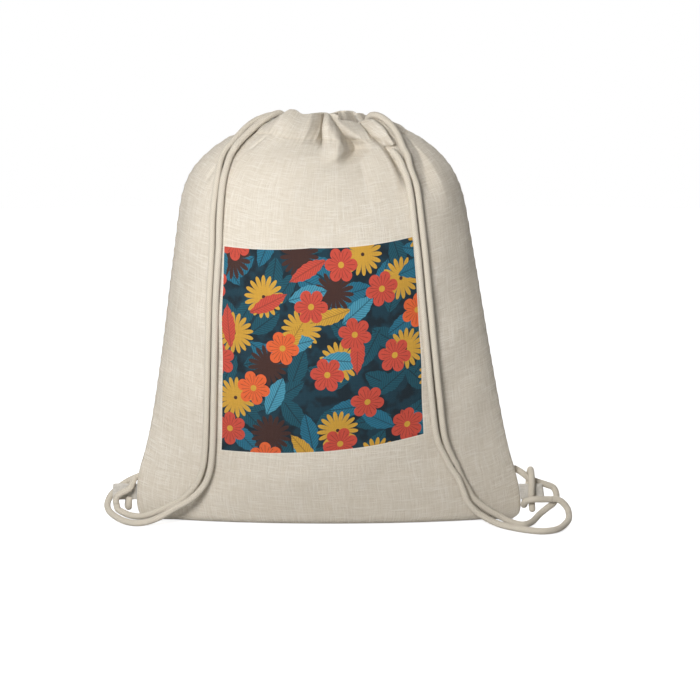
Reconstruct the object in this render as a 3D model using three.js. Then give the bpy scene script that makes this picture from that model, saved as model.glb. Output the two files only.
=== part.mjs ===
// A drawstring rucksack of natural linen-look cotton, standing up as it does when it is full.
// Two cloth panels are sewn together at both sides and along the bottom. Each panel's top edge is turned
// over into a channel for the drawcords. Drawn tight, the channel gathers the mouth into folds.
// A pair of cords leaves each end of the channel, runs down the front as a shoulder strap, and is
// knotted round a folded cloth tab that is sewn into the side seam just above the bottom corner.
// Millimetres. +X is to the right, -Y is the front with the cords, +Z is up, and the floor is z = 0.
import * as THREE from 'three';
import { mergeVertices } from 'three/addons/utils/BufferGeometryUtils.js';

// Sizes of the cut cloth
const CLOTH_WIDTH = 390; // a panel, from seam to seam
const CLOTH_HEIGHT = 450; // a panel, from the bottom seam to the rim
const CLOTH_THICK = 1.6;
const CHANNEL_TALL = 28; // from the channel's stitch line to the rim
const HEM_THICK = 2.8; // the two layers of the channel at its stitch line and rim
const CHANNEL_PUFF = 2; // how far the cord inside rounds out the channel's outer face
const SEAM_GAP = 0.3; // between the two panels
const SEAM_TURN = 3; // cloth that turns in towards the seam
const SEAM_ROUND = 2.2; // how far that turn stands out from the seam
const FLOOR_BEND = 9; // cloth on each side of the bend where a wall leaves the floor
const SEWN_MARGIN = 16; // the folds die out this far from the side seam
const HEM_SLOPE = 4; // below the stitch line, where the channel's second layer begins
const HALF_CLOTH = CLOTH_WIDTH / 2;
const STITCH_LINE = CLOTH_HEIGHT - CHANNEL_TALL;

// Sizes of the cords and tabs
const CORD_ACROSS = 6.4;
const CORD_SIDES = 8;
const CORD_REST = CORD_ACROSS / 2 + 0.7; // from the cloth to the middle of a cord that lies on it
const TAB_LONG = 24;
const TAB_TALL = 16;
const TAB_THICK = 1.2; // one layer of the folded strip
const TAB_GAP = 2.2; // between its two layers
const TAB_SEWN_GAP = 0.2; // between them at the seam
const TAB_UP = 20; // the tab's lower edge above the floor
const PIECE_GAP = 0.3; // between pieces that touch

const FRONT = -1;
const BACK = 1;
const LEFT = -1;
const RIGHT = 1;

// The side seams, from the floor to the rim. share is of the cloth that stands above the floor, out is
// half the bag's width there, and shift is how far the bag leans to the right.
const SEAM_LINE = [
  { share: 0, out: 186, shift: 0, up: 0 },
  { share: 0.02, out: 193, shift: 0, up: 7 },
  { share: 0.06, out: 194, shift: -1, up: 26 },
  { share: 0.11, out: 190, shift: -2, up: 49 },
  { share: 0.165, out: 183, shift: -2, up: 73 },
  { share: 0.24, out: 175.5, shift: -2, up: 106 },
  { share: 0.4, out: 163, shift: -3, up: 177 },
  { share: 0.62, out: 147.5, shift: -5, up: 275 },
  { share: 0.74, out: 138, shift: -6, up: 328 },
  { share: 0.8, out: 128, shift: -6, up: 352 },
  { share: 0.85, out: 113, shift: -5, up: 369.5 },
  { share: 0.9, out: 94, shift: -4, up: 383.5 },
  { share: 0.95, out: 75, shift: -2, up: 392 },
  { share: 1, out: 55, shift: -1, up: 400 },
];

// The middle of a panel, from the floor to the rim. out is its distance from the seams' plane, and
// square is the level section's shape: 1 is a parabola with pointed ends, and 0.5 an ellipse.
const MIDDLE_LINE = [
  { share: 0, out: 25, up: 0, square: 0.85 },
  { share: 0.06, out: 34, up: 24, square: 0.95 },
  { share: 0.15, out: 47, up: 60, square: 0.95 },
  { share: 0.28, out: 60, up: 114, square: 0.8 },
  { share: 0.42, out: 69, up: 172, square: 0.68 },
  { share: 0.55, out: 73, up: 226, square: 0.62 },
  { share: 0.68, out: 72, up: 281, square: 0.58 },
  { share: 0.78, out: 66, up: 322, square: 0.55 },
  { share: 0.86, out: 56, up: 355, square: 0.52 },
  { share: 0.93, out: 42, up: 382, square: 0.5 },
  { share: 1, out: 27, up: 409, square: 0.5 },
];

// How far the gathered rim stands above or below its even line, across each panel
const RIM_LINE = [
  { across: -195, front: 0, back: 0 },
  { across: -150, front: 0, back: 2 },
  { across: -125, front: 4, back: 1 },
  { across: -108, front: 6, back: 0 },
  { across: -90, front: 4, back: -2 },
  { across: -70, front: -1, back: -2 },
  { across: -20, front: -2, back: -3 },
  { across: 10, front: -3, back: -2 },
  { across: 40, front: -7, back: 0 },
  { across: 80, front: -7.5, back: 1 },
  { across: 100, front: -8.5, back: 0 },
  { across: 118, front: -3.5, back: 0 },
  { across: 140, front: -1, back: -2 },
  { across: 195, front: 0, back: 0 },
];
const RIM_REACH = 0.11; // the share of the wall over which that dies out

// A fold of the gathered mouth follows a line of places down the cloth, and sinks by depth at each. Its
// flanks are as wide as left and right say, measured across the cloth.
const place = (high, across, depth) => ({ high, across, depth });
const fold = (left, right, ...line) => ({ left, right, line });
const FOLD_FLANK = 1.15; // 1 makes a fold's flanks straight, and more makes them run out more gently

const FRONT_FOLDS = [
  // The pressed fold beside the middle: its long slope on the left, and its slot
  fold(
    34, 12,
    place(402, -16, 0), place(414, -8, 4), place(420.5, -6.5, 15), place(436, -9, 20), place(450, -12, 17),
  ),
  fold(
    10, 6,
    place(411, -4, 0), place(417.5, -5.5, 9), place(429, -8, 13), place(440, -9.5, 12), place(450, -12, 8),
  ),
  // The ridge to the right of the slot, and the crescent that it dives into
  fold(
    26, 18,
    place(390, 25, 0), place(400, 21, -4), place(410, 22, -7), place(420, 25, -8), place(430, 21, -7),
    place(440, 12, -5), place(450, -2, -4),
  ),
  fold(
    30, 20,
    place(388, 21, 0), place(395, 33, 6), place(402, 50, 13), place(408, 61, 18), place(414, 62, 19),
    place(424, 50, 16), place(435, 35, 11), place(450, 10, 7),
  ),
  // The broad dip below them
  fold(
    105, 45,
    place(335, 58, 0), place(350, 58, 1.5), place(370, 57, 5), place(390, 56, 7), place(410, 58, 6),
    place(450, 60, 3),
  ),
  // The long crease beside the right cords, and the end of the channel between it and them
  fold(
    14, 8,
    place(358, 106, 0), place(370, 109, 3), place(385, 111, 7), place(398, 110, 9), place(407, 108, 10),
    place(416, 103, 10), place(428, 99, 10), place(440, 103, 11), place(450, 108, 12),
  ),
  fold(
    13, 11,
    place(405.5, 112, 0), place(409, 113, -8.5), place(425, 116, -8.5), place(440, 120, -7), place(450, 124, -5),
  ),
  // The valley that the left cords lie in, and the bulge to its right
  fold(
    24, 12,
    place(335, -118, 0), place(352, -121, 1.5), place(375, -129, 2), place(395, -139, 3),
    place(410, -147, 4.5), place(421, -153, 8.5), place(436, -160, 10), place(450, -166, 6),
  ),
  fold(30, 45, place(375, -92, 0), place(410, -98, -2), place(435, -103, -4), place(450, -108, -4)),
];
const BACK_FOLDS = [
  fold(26, 10, place(350, -115, 0), place(390, -122, 4), place(420, -128, 8), place(450, -132, 12)),
  fold(12, 30, place(390, -85, 0), place(420, -83, 6), place(450, -80, 12)),
  fold(28, 10, place(340, -20, 0), place(385, -28, 4), place(420, -36, 8), place(450, -40, 11)),
  fold(14, 20, place(392, 2, 0), place(420, 3, 7), place(450, 4, 12)),
  fold(10, 30, place(345, 70, 0), place(385, 60, 4), place(420, 52, 8), place(450, 48, 11)),
  fold(16, 12, place(395, 90, 0), place(420, 92, 6), place(450, 94, 12)),
  fold(10, 28, place(355, 128, 0), place(395, 132, 4), place(425, 135, 8), place(450, 136, 11)),
];

const clamp01 = (x) => Math.min(1, Math.max(0, x));
const smooth = (x) => clamp01(x) ** 2 * (3 - 2 * clamp01(x));
const mix = (a, b, w) => a + (b - a) * w;

// The value of a table's column on a smooth curve through its rows. key is the column to go by.
function read(table, column, at, key = 'share') {
  const last = table.length - 1;
  let i = 0;
  while (i < last - 1 && at > table[i + 1][key]) i += 1;
  const slopeAt = (k) => {
    const a = table[Math.max(0, k - 1)];
    const b = table[Math.min(last, k + 1)];
    return (b[column] - a[column]) / (b[key] - a[key]);
  };
  const [from, to] = [table[i], table[i + 1]];
  const step = to[key] - from[key];
  const w = clamp01((at - from[key]) / step);
  return (
    from[column] * (1 + 2 * w) * (1 - w) ** 2 +
    to[column] * w * w * (3 - 2 * w) +
    slopeAt(i) * step * w * (1 - w) ** 2 +
    slopeAt(i + 1) * step * w * w * (w - 1)
  );
}

// The place on a fold's line at a height on the cloth, held beyond the line's two ends
function onLine(line, high) {
  const i = Math.max(1, line.findIndex((row) => row.high >= high));
  const [from, to] = high > line.at(-1).high ? line.slice(-2) : [line[i - 1], line[i]];
  const w = clamp01((high - from.high) / (to.high - from.high));
  return { across: mix(from.across, to.across, w), depth: mix(from.depth, to.depth, w) };
}

// A level section runs from the left seam at angle -90 degrees to the right seam at +90 degrees.
const SECTION_STEPS = 48; // the straight pieces that a section's length is measured with
const LEAST_COSINE = 0.02; // keeps the section's slope finite at the seams
const sectionOut = (angle, square) => Math.max(0, Math.cos(angle)) ** (2 * square);

// The angle that has a share of the section's own length on its left, so the cloth is spread evenly.
function spread(across, out, deep, square) {
  const angleAt = (i) => Math.PI * (i / SECTION_STEPS - 0.5);
  const lengths = [0];
  for (let i = 1; i <= SECTION_STEPS; i += 1) {
    const [a, b] = [angleAt(i - 1), angleAt(i)];
    const rise = deep * (sectionOut(b, square) - sectionOut(a, square));
    lengths.push(lengths[i - 1] + Math.hypot(out * (Math.sin(b) - Math.sin(a)), rise));
  }
  const wanted = clamp01((across / HALF_CLOTH + 1) / 2) * lengths[SECTION_STEPS];
  let i = 1;
  while (i < SECTION_STEPS && lengths[i] < wanted) i += 1;
  const w = (wanted - lengths[i - 1]) / (lengths[i] - lengths[i - 1]);
  return angleAt(i - 1 + w);
}

// How deep all the folds are together at a place on the cloth. They die out at the side seams.
function foldsAt(folds, across, high) {
  let depth = 0;
  for (const { left, right, line } of folds) {
    const middle = onLine(line, high);
    const width = across < middle.across ? left : right;
    depth += middle.depth * Math.max(0, 1 - Math.abs(across - middle.across) / width) ** FOLD_FLANK;
  }
  return depth * smooth((HALF_CLOTH - Math.abs(across)) / SEWN_MARGIN);
}

// A point of the outer face of the wall that stands above the floor.
function wallPoint(side, across, high, onFloor) {
  const share = (high - onFloor) / (CLOTH_HEIGHT - onFloor);
  const out = read(SEAM_LINE, 'out', share);
  const deep = read(MIDDLE_LINE, 'out', share);
  const square = read(MIDDLE_LINE, 'square', share);
  const angle = spread(across, out, deep, square);
  const sine = Math.sin(angle);
  const cosine = Math.max(LEAST_COSINE, Math.cos(angle));
  const lip = clamp01(1 - (HALF_CLOTH - Math.abs(across)) / SEAM_TURN);
  const turn = SEAM_ROUND * Math.sqrt(1 - lip * lip);
  const slope = -2 * square * deep * cosine ** (2 * square - 1) * sine;
  const run = out * cosine;
  const length = Math.hypot(slope, run);
  const sink = foldsAt(side === FRONT ? FRONT_FOLDS : BACK_FOLDS, across, high);
  const uneven = read(RIM_LINE, side === FRONT ? 'front' : 'back', across, 'across');
  const lift = uneven * smooth(1 - (1 - share) / RIM_REACH);
  const x = out * sine + read(SEAM_LINE, 'shift', share) + (sink * slope) / length;
  const y = SEAM_GAP / 2 + turn + deep * sectionOut(angle, square) - (sink * run) / length;
  const up = mix(read(MIDDLE_LINE, 'up', share), read(SEAM_LINE, 'up', share), sine * sine) + lift;
  return new THREE.Vector3(x, side * y, up);
}

// How much of a panel's cloth lies on the floor, between the bottom seam and the wall.
function floorCloth(across) {
  const { out, square } = MIDDLE_LINE[0];
  return out * sectionOut(spread(across, SEAM_LINE[0].out, out, square), square);
}

// A point of a panel's outer face: across and high are measured on the cloth, from the panel's middle
// and from its bottom seam. The cloth lies on the floor first, bends, and then stands up as the wall.
function clothPoint(side, across, high) {
  const onFloor = floorCloth(across);
  const bend = Math.min(FLOOR_BEND, onFloor);
  const wallAt = (h) => wallPoint(side, across, h, onFloor);
  const foot = wallAt(onFloor);
  const floorAt = (h) => {
    const sewn = clamp01(h / Math.max(1, onFloor));
    return new THREE.Vector3(foot.x, side * mix(SEAM_GAP / 2, Math.abs(foot.y), sewn), 0);
  };
  if (high >= onFloor + bend) return wallAt(high);
  if (high <= onFloor - bend) return floorAt(high);
  const w = (high - onFloor + bend) / (2 * bend);
  const before = floorAt(onFloor - bend).multiplyScalar((1 - w) ** 2);
  const after = wallAt(onFloor + bend).multiplyScalar(w * w);
  return foot.clone().multiplyScalar(2 * w * (1 - w)).add(before).add(after);
}

// The direction that a panel's outer face looks in.
function clothNormal(side, across, high) {
  const STEP = 2;
  const inner = HALF_CLOTH - SEAM_TURN;
  const s = Math.min(inner - STEP, Math.max(STEP - inner, across));
  const h = Math.min(CLOTH_HEIGHT - STEP, Math.max(STEP, high));
  const sideways = clothPoint(side, s + STEP, h).sub(clothPoint(side, s - STEP, h));
  const upward = clothPoint(side, s, h + STEP).sub(clothPoint(side, s, h - STEP));
  const normal = sideways.cross(upward).multiplyScalar(-side).normalize();
  const lip = clamp01(1 - (HALF_CLOTH - Math.abs(across)) / SEAM_TURN);
  const seamward = new THREE.Vector3(Math.sign(across), 0, 0);
  return normal.lerp(seamward, lip * clamp01(high / FLOOR_BEND)).normalize();
}

// How far the channel's faces stand out beyond one layer of cloth.
function channelPuff(high) {
  const inside = clamp01((high - STITCH_LINE) / CHANNEL_TALL);
  const swell = CHANNEL_PUFF * Math.sin(Math.PI * inside);
  const layers = (HEM_THICK - CLOTH_THICK) * smooth((high - STITCH_LINE + HEM_SLOPE) / HEM_SLOPE);
  return { outer: swell, inner: layers + swell / 2 };
}

const steps = (from, to, count) => Array.from({ length: count }, (_, i) => from + ((to - from) * i) / count);

// The places on the cloth where a panel's solid has its points, closest together where its folds are
const SEWN_EDGE = HALF_CLOTH - SEAM_TURN;
const FRONT_ROWS = [
  ...steps(0, 35, 7), ...steps(35, 110, 4), ...steps(110, 330, 7), ...steps(330, 390, 4),
  ...steps(390, STITCH_LINE, 6), ...steps(STITCH_LINE, CLOTH_HEIGHT, 6), CLOTH_HEIGHT,
];
const FRONT_COLUMNS = [
  -HALF_CLOTH, ...steps(-SEWN_EDGE, -46, 14), ...steps(-46, 70, 24), ...steps(70, 94, 3),
  ...steps(94, 130, 8), ...steps(130, SEWN_EDGE, 6), SEWN_EDGE, HALF_CLOTH,
];
const BACK_ROWS = [
  ...steps(0, 35, 7), ...steps(35, 110, 4), ...steps(110, 330, 6), ...steps(330, STITCH_LINE, 6),
  ...steps(STITCH_LINE, CLOTH_HEIGHT, 4), CLOTH_HEIGHT,
];
const BACK_COLUMNS = [-HALF_CLOTH, ...steps(-SEWN_EDGE, SEWN_EDGE, 34), SEWN_EDGE, HALF_CLOTH];

// A closed sheet from a grid of outer points and a grid of inner points. turned swaps the faces over.
function closedSheet(outer, inner, turned) {
  const rows = outer.length;
  const columns = outer[0].length;
  const [top, right] = [rows - 1, columns - 1];
  const positions = [...outer.flat(), ...inner.flat()].flatMap((p) => [p.x, p.y, p.z]);
  const at = (layer, j, i) => layer * rows * columns + j * columns + i;
  const index = [];
  const quad = (a, b, c, d) => index.push(...(turned ? [a, c, b, a, d, c] : [a, b, c, a, c, d]));
  for (let j = 0; j < top; j += 1) {
    for (let i = 0; i < right; i += 1) {
      quad(at(0, j, i), at(0, j, i + 1), at(0, j + 1, i + 1), at(0, j + 1, i));
      quad(at(1, j, i), at(1, j + 1, i), at(1, j + 1, i + 1), at(1, j, i + 1));
    }
    quad(at(0, j, 0), at(0, j + 1, 0), at(1, j + 1, 0), at(1, j, 0));
    quad(at(0, j, right), at(1, j, right), at(1, j + 1, right), at(0, j + 1, right));
  }
  for (let i = 0; i < right; i += 1) {
    quad(at(0, 0, i), at(1, 0, i), at(1, 0, i + 1), at(0, 0, i + 1));
    quad(at(0, top, i), at(0, top, i + 1), at(1, top, i + 1), at(1, top, i));
  }
  const geometry = new THREE.BufferGeometry();
  geometry.setAttribute('position', new THREE.Float32BufferAttribute(positions, 3));
  geometry.setIndex(index);
  return geometry;
}

function panelGeometry(side, rows, columns) {
  const outer = [];
  const inner = [];
  for (const high of rows) {
    const puff = channelPuff(high);
    const outerRow = [];
    const innerRow = [];
    for (const across of columns) {
      const point = clothPoint(side, across, high);
      const normal = clothNormal(side, across, high);
      const edge = Math.abs(across) === HALF_CLOTH ? 0 : 1;
      const inside = point.clone().addScaledVector(normal, -CLOTH_THICK - puff.inner * edge);
      inside.y = side * Math.max(SEAM_GAP / 2, side * inside.y);
      outerRow.push(point.addScaledVector(normal, puff.outer * edge));
      innerRow.push(inside);
    }
    outer.push(outerRow);
    inner.push(innerRow);
  }
  return closedSheet(outer, inner, side === BACK);
}

// A cord's middle where it lies on the front panel, or lift away from it.
function onFront(across, high, lift = CORD_REST) {
  const clear = lift + channelPuff(high).outer;
  return clothPoint(FRONT, across, high).addScaledVector(clothNormal(FRONT, across, high), clear);
}

function cordGeometry(route, count) {
  const curve = new THREE.CatmullRomCurve3(route, false, 'centripetal');
  const section = new THREE.Shape();
  for (let i = 0; i < CORD_SIDES; i += 1) {
    const turn = (2 * Math.PI * i) / CORD_SIDES;
    const place = [(CORD_ACROSS / 2) * Math.cos(turn), (CORD_ACROSS / 2) * Math.sin(turn)];
    if (i === 0) section.moveTo(...place);
    else section.lineTo(...place);
  }
  return new THREE.ExtrudeGeometry(section, { steps: count, extrudePath: curve, bevelEnabled: false });
}

// A route's rows either lie on the front panel's cloth or are places in space.
function routePoints(rows) {
  return rows.map(({ across, high, lift, x, y, z }) => {
    if (across === undefined) return new THREE.Vector3(x, y, z);
    return onFront(across, high, lift);
  });
}

// The two cords of the left shoulder strap. The outer one loops round the tab and ends behind the bag.
const LEFT_OUTER = [
  { x: -38, y: -3, z: 397 },
  { x: -42, y: -4.5, z: 403 },
  { x: -47, y: -7.5, z: 407 },
  { x: -52, y: -11, z: 406.2 },
  { x: -58.4, y: -15.2, z: 403.2 },
  { x: -66.5, y: -19.8, z: 397.8 },
  { x: -74.2, y: -24.8, z: 391 },
  { x: -82.5, y: -29.5, z: 383 },
  { x: -88.7, y: -34.3, z: 375.6 },
  { across: -134, high: 388 },
  { across: -129, high: 380 },
  { across: -122.5, high: 366 },
  { across: -117.5, high: 348 },
  { across: -114.5, high: 326 },
  { across: -113, high: 304 },
  { across: -114, high: 252 },
  { across: -114.5, high: 203 },
  { across: -115.5, high: 152 },
  { across: -116, high: 102 },
  { across: -116.5, high: 80 },
  { across: -119, high: 66, lift: 4.5 },
  { x: -128, y: -34, z: 37 },
  { x: -138, y: -35, z: 28 },
  { x: -152, y: -35, z: 20 },
  { x: -167, y: -35, z: 11 },
  { x: -182, y: -33, z: 5 },
  { x: -195, y: -30.5, z: 3.5 },
  { x: -209, y: -22, z: 5 },
  { x: -221, y: -12, z: 10.5 },
  { x: -224.5, y: -2, z: 15.5 },
  { x: -222, y: 8, z: 22.5 },
  { x: -215.5, y: 13, z: 28.5 },
  { x: -206.5, y: 17, z: 34.5 },
  { x: -198, y: 18, z: 38.5 },
  { x: -187, y: 21, z: 42 },
];
const LEFT_INNER = [
  { x: -38, y: 4, z: 396 },
  { x: -43, y: 3, z: 401.5 },
  { x: -49, y: 1, z: 404.5 },
  { x: -56, y: -2, z: 405 },
  { x: -63.5, y: -5.8, z: 403 },
  { x: -71, y: -9.6, z: 399.8 },
  { x: -79, y: -15, z: 394 },
  { x: -86, y: -21, z: 386.8 },
  { x: -92.5, y: -26.5, z: 379.5 },
  { across: -149.5, high: 391 },
  { across: -142.5, high: 380 },
  { across: -133, high: 366 },
  { across: -127, high: 348 },
  { across: -123.5, high: 325 },
  { across: -121.5, high: 300 },
  { across: -122, high: 250 },
  { across: -122.5, high: 201 },
  { across: -123.5, high: 150 },
  { across: -124, high: 98 },
  { across: -124.5, high: 81 },
  { x: -131, y: -29, z: 44 },
  { x: -138.5, y: -27, z: 34 },
  { x: -147, y: -25.5, z: 26 },
  { x: -157.5, y: -24.5, z: 20 },
  { x: -168, y: -24, z: 15 },
  { x: -178, y: -23.5, z: 11 },
  { x: -188.5, y: -22, z: 8 },
  { x: -199, y: -18.5, z: 8 },
  { x: -207.5, y: -15, z: 10.5 },
  { x: -212.6, y: -13.2, z: 13.5 },
  { x: -213.9, y: -12.6, z: 18.5 },
];
const LEFT_KNOT = [
  { x: -214, y: -12.55, z: 19.1 },
  { x: -214.4, y: -12.5, z: 22 },
  { x: -213, y: -12.5, z: 26 },
  { x: -208.5, y: -12.8, z: 29.5 },
  { x: -201, y: -11.5, z: 33.5 },
  { x: -198, y: -5.5, z: 38.5 },
  { x: -198, y: 2.5, z: 40 },
  { x: -200, y: 9, z: 35 },
  { x: -203, y: 10, z: 26 },
  { x: -204.5, y: 8.5, z: 17.5 },
  { x: -204.5, y: 2, z: 13.5 },
  { x: -202.5, y: -5, z: 13.5 },
  { x: -202, y: -7, z: 19 },
  { x: -201.5, y: -6.3, z: 24.5 },
];

// The two cords of the right shoulder strap. Its inner cord ends behind the bag.
const RIGHT_OUTER = [
  { x: 59.8, y: -44.4, z: 374 },
  { x: 64, y: -46.2, z: 369.5 },
  { x: 68.2, y: -48.2, z: 364 },
  { x: 72.2, y: -50.8, z: 354.8 },
  { x: 75.4, y: -53.5, z: 346.5 },
  { x: 77.8, y: -56.2, z: 336 },
  { across: 104, high: 346 },
  { across: 102.5, high: 325 },
  { across: 103, high: 296 },
  { across: 103.5, high: 254 },
  { across: 105.5, high: 205 },
  { across: 108.5, high: 154 },
  { across: 113, high: 112 },
  { across: 119, high: 94, lift: 5 },
  { across: 124, high: 80, lift: 7 },
  { x: 128, y: -36, z: 50 },
  { x: 133, y: -36, z: 38 },
  { x: 138, y: -36, z: 26 },
  { x: 147, y: -36, z: 16 },
  { x: 157, y: -37, z: 9.5 },
  { x: 168, y: -40, z: 5 },
  { x: 180, y: -47, z: 3.5 },
  { x: 194, y: -57, z: 3.5 },
  { x: 209.5, y: -62, z: 3.5 },
  { x: 223, y: -56, z: 3.5 },
  { x: 234, y: -38, z: 4 },
  { x: 240.5, y: -20, z: 7 },
  { x: 239.5, y: -12, z: 14 },
  { x: 233.5, y: -10, z: 20.5 },
  { x: 229, y: -9.6, z: 22.3 },
  { x: 224.5, y: -9.8, z: 22.4 },
];
const RIGHT_INNER = [
  { x: 37, y: -2, z: 393 },
  { x: 37.5, y: -6, z: 399.5 },
  { x: 41.5, y: -12.5, z: 405 },
  { x: 48.5, y: -19.5, z: 404.8 },
  { x: 56.8, y: -24.6, z: 399.8 },
  { x: 63.8, y: -29.6, z: 392 },
  { x: 68.4, y: -35, z: 383.5 },
  { x: 72, y: -39.5, z: 374.5 },
  { across: 122, high: 391 },
  { across: 118, high: 378 },
  { across: 115.5, high: 362 },
  { across: 113, high: 346 },
  { across: 111.5, high: 325 },
  { across: 111.5, high: 296 },
  { across: 112, high: 253 },
  { across: 114, high: 203 },
  { across: 117.5, high: 152 },
  { across: 121.5, high: 110 },
  { across: 127, high: 92 },
  { across: 131, high: 80 },
  { across: 134.5, high: 66 },
  { x: 138, y: -26, z: 38 },
  { x: 143, y: -26, z: 29 },
  { x: 151, y: -26, z: 21.5 },
  { x: 161, y: -26, z: 14.5 },
  { x: 173, y: -27, z: 8 },
  { x: 184, y: -33, z: 4 },
  { x: 193, y: -37, z: 3.5 },
  { x: 202.5, y: -27, z: 3.6 },
  { x: 212, y: -13, z: 8 },
  { x: 219.5, y: -9, z: 13 },
  { x: 227, y: -3, z: 17 },
  { x: 230.5, y: 3.5, z: 23 },
  { x: 228, y: 7.5, z: 30 },
  { x: 220, y: 8, z: 33.5 },
  { x: 211, y: 7.5, z: 36.5 },
  { x: 203, y: 7.5, z: 40 },
  { x: 195, y: 9, z: 46 },
  { x: 186, y: 13, z: 50.5 },
];
const RIGHT_KNOT = [
  { x: 224.1, y: -9.8, z: 22.4 },
  { x: 219.5, y: -10.2, z: 22.5 },
  { x: 213.5, y: -12.2, z: 22.9 },
  { x: 205.5, y: -14, z: 23.3 },
  { x: 198.5, y: -11.5, z: 21 },
  { x: 197, y: -4.5, z: 15.5 },
  { x: 198, y: 5, z: 14.5 },
  { x: 201, y: 12.5, z: 20 },
  { x: 203, y: 15.3, z: 31 },
  { x: 203.8, y: 14.7, z: 42.5 },
  { x: 204, y: 8, z: 49 },
  { x: 204, y: -0.5, z: 48 },
  { x: 204, y: -5.5, z: 42 },
  { x: 204, y: -6.4, z: 33 },
  { x: 204, y: -6.4, z: 24 },
  { x: 204.5, y: -8, z: 15 },
  { x: 205, y: -9.5, z: 9 },
];

// Where the side seam stands at a height above the floor
const SEAM_SEARCH = 0.001; // the step of the search, as a share of the wall
const seamOut = (side, up) => {
  let share = 0;
  while (read(SEAM_LINE, 'up', share) < up) share += SEAM_SEARCH;
  return side * read(SEAM_LINE, 'out', share) + read(SEAM_LINE, 'shift', share);
};

// A strip folded in half, its two ends sewn into the side seam, with a small gap left inside the fold.
function tabGeometry(side) {
  const root = TAB_THICK + TAB_SEWN_GAP / 2;
  const round = TAB_THICK + TAB_GAP / 2;
  const bendAt = TAB_LONG - round;
  const outline = new THREE.Shape();
  outline.moveTo(0, -root);
  outline.bezierCurveTo(bendAt / 3, -root, bendAt / 2, -round, bendAt, -round);
  outline.absarc(bendAt, 0, round, -Math.PI / 2, Math.PI / 2, false);
  outline.bezierCurveTo(bendAt / 2, round, bendAt / 3, root, 0, root);
  const inside = new THREE.Path();
  inside.moveTo(bendAt / 3, 0);
  inside.quadraticCurveTo(bendAt / 2, TAB_GAP / 2, bendAt, TAB_GAP / 2);
  inside.absarc(bendAt, 0, TAB_GAP / 2, Math.PI / 2, -Math.PI / 2, true);
  inside.quadraticCurveTo(bendAt / 2, -TAB_GAP / 2, bendAt / 3, 0);
  outline.holes.push(inside);
  const geometry = new THREE.ExtrudeGeometry(outline, {
    depth: TAB_TALL, steps: 2, curveSegments: 6, bevelEnabled: false,
  });
  if (side === LEFT) geometry.rotateY(Math.PI).translate(0, 0, TAB_TALL);
  const place = geometry.attributes.position;
  for (let i = 0; i < place.count; i += 1) {
    const up = place.getZ(i) + TAB_UP;
    place.setXYZ(i, place.getX(i) + seamOut(side, up) + side * PIECE_GAP, place.getY(i), up);
  }
  return geometry;
}

const linen = { color: 0xd9cfbd, roughness: 0.9, metalness: 0 };
const cotton = { color: 0xdcd3c3, roughness: 0.85, metalness: 0 };

const group = new THREE.Group();
function piece(name, geometry, finish) {
  const body = geometry.clone();
  body.deleteAttribute('normal');
  body.deleteAttribute('uv');
  const mesh = new THREE.Mesh(mergeVertices(body, 1e-4), new THREE.MeshStandardMaterial(finish));
  mesh.name = name;
  group.add(mesh);
}

// The straight pieces that a cord's run and its knot are made of
const RUN_STEPS = 60;
const KNOT_STEPS = 38;

piece('front_panel', panelGeometry(FRONT, FRONT_ROWS, FRONT_COLUMNS), linen);
piece('back_panel', panelGeometry(BACK, BACK_ROWS, BACK_COLUMNS), linen);
piece('tab_left', tabGeometry(LEFT), linen);
piece('tab_right', tabGeometry(RIGHT), linen);
piece('cord_left_outer', cordGeometry(routePoints(LEFT_OUTER), RUN_STEPS), cotton);
piece('cord_left_inner', cordGeometry(routePoints(LEFT_INNER), RUN_STEPS), cotton);
piece('knot_left', cordGeometry(routePoints(LEFT_KNOT), KNOT_STEPS), cotton);
piece('cord_right_outer', cordGeometry(routePoints(RIGHT_OUTER), RUN_STEPS), cotton);
piece('cord_right_inner', cordGeometry(routePoints(RIGHT_INNER), RUN_STEPS), cotton);
piece('knot_right', cordGeometry(routePoints(RIGHT_KNOT), KNOT_STEPS), cotton);

export default group;
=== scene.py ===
# %% [markdown]
# # A drawstring rucksack of linen-look cotton
#
# The real bag is two pieces of cloth sewn together at the sides and along the bottom. Their top edges are
# turned over into a channel, and a pair of cords runs through it at each side. Pulled tight, the cords
# shut the mouth in folds. Below, they are knotted round a small loop of folded cloth at each corner.
#
# A bag like this could be simulated as cloth from its flat pattern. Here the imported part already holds
# the filled shape that the photograph shows, so the lesson works the same form out again from a few
# curves, on a much finer grid, and then adds what is too small for a solid: creases, stitches, the
# braid of the cords, the weave and the print. Everything is in metres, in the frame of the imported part.

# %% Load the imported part
import math

import bpy
import numpy as np
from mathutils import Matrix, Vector


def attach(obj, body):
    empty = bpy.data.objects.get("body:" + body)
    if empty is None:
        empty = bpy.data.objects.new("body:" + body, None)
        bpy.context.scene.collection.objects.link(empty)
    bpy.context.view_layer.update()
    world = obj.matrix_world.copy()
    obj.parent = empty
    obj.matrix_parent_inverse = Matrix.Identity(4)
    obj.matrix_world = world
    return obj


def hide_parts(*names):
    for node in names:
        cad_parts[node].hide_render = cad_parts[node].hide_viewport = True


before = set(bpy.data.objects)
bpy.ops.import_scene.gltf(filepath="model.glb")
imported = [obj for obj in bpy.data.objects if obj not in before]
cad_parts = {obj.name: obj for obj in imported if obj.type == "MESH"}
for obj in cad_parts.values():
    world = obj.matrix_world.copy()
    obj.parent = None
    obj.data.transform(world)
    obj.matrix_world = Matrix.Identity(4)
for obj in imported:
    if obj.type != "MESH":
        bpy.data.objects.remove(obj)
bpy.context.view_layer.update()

print("nodes:", ", ".join(sorted(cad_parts)))

# %% [markdown]
# ## The camera
#
# The photograph was taken from straight in front and slightly above, so the bag's base bows down in the
# picture while its sides stay upright. A long lens gives that calm perspective: the lens's angle and the
# distance together settle how much of the frame the bag fills, and its height above the floor settles
# how far the base bows. The camera is placed on an arc round a target point in the middle of the bag.

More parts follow.
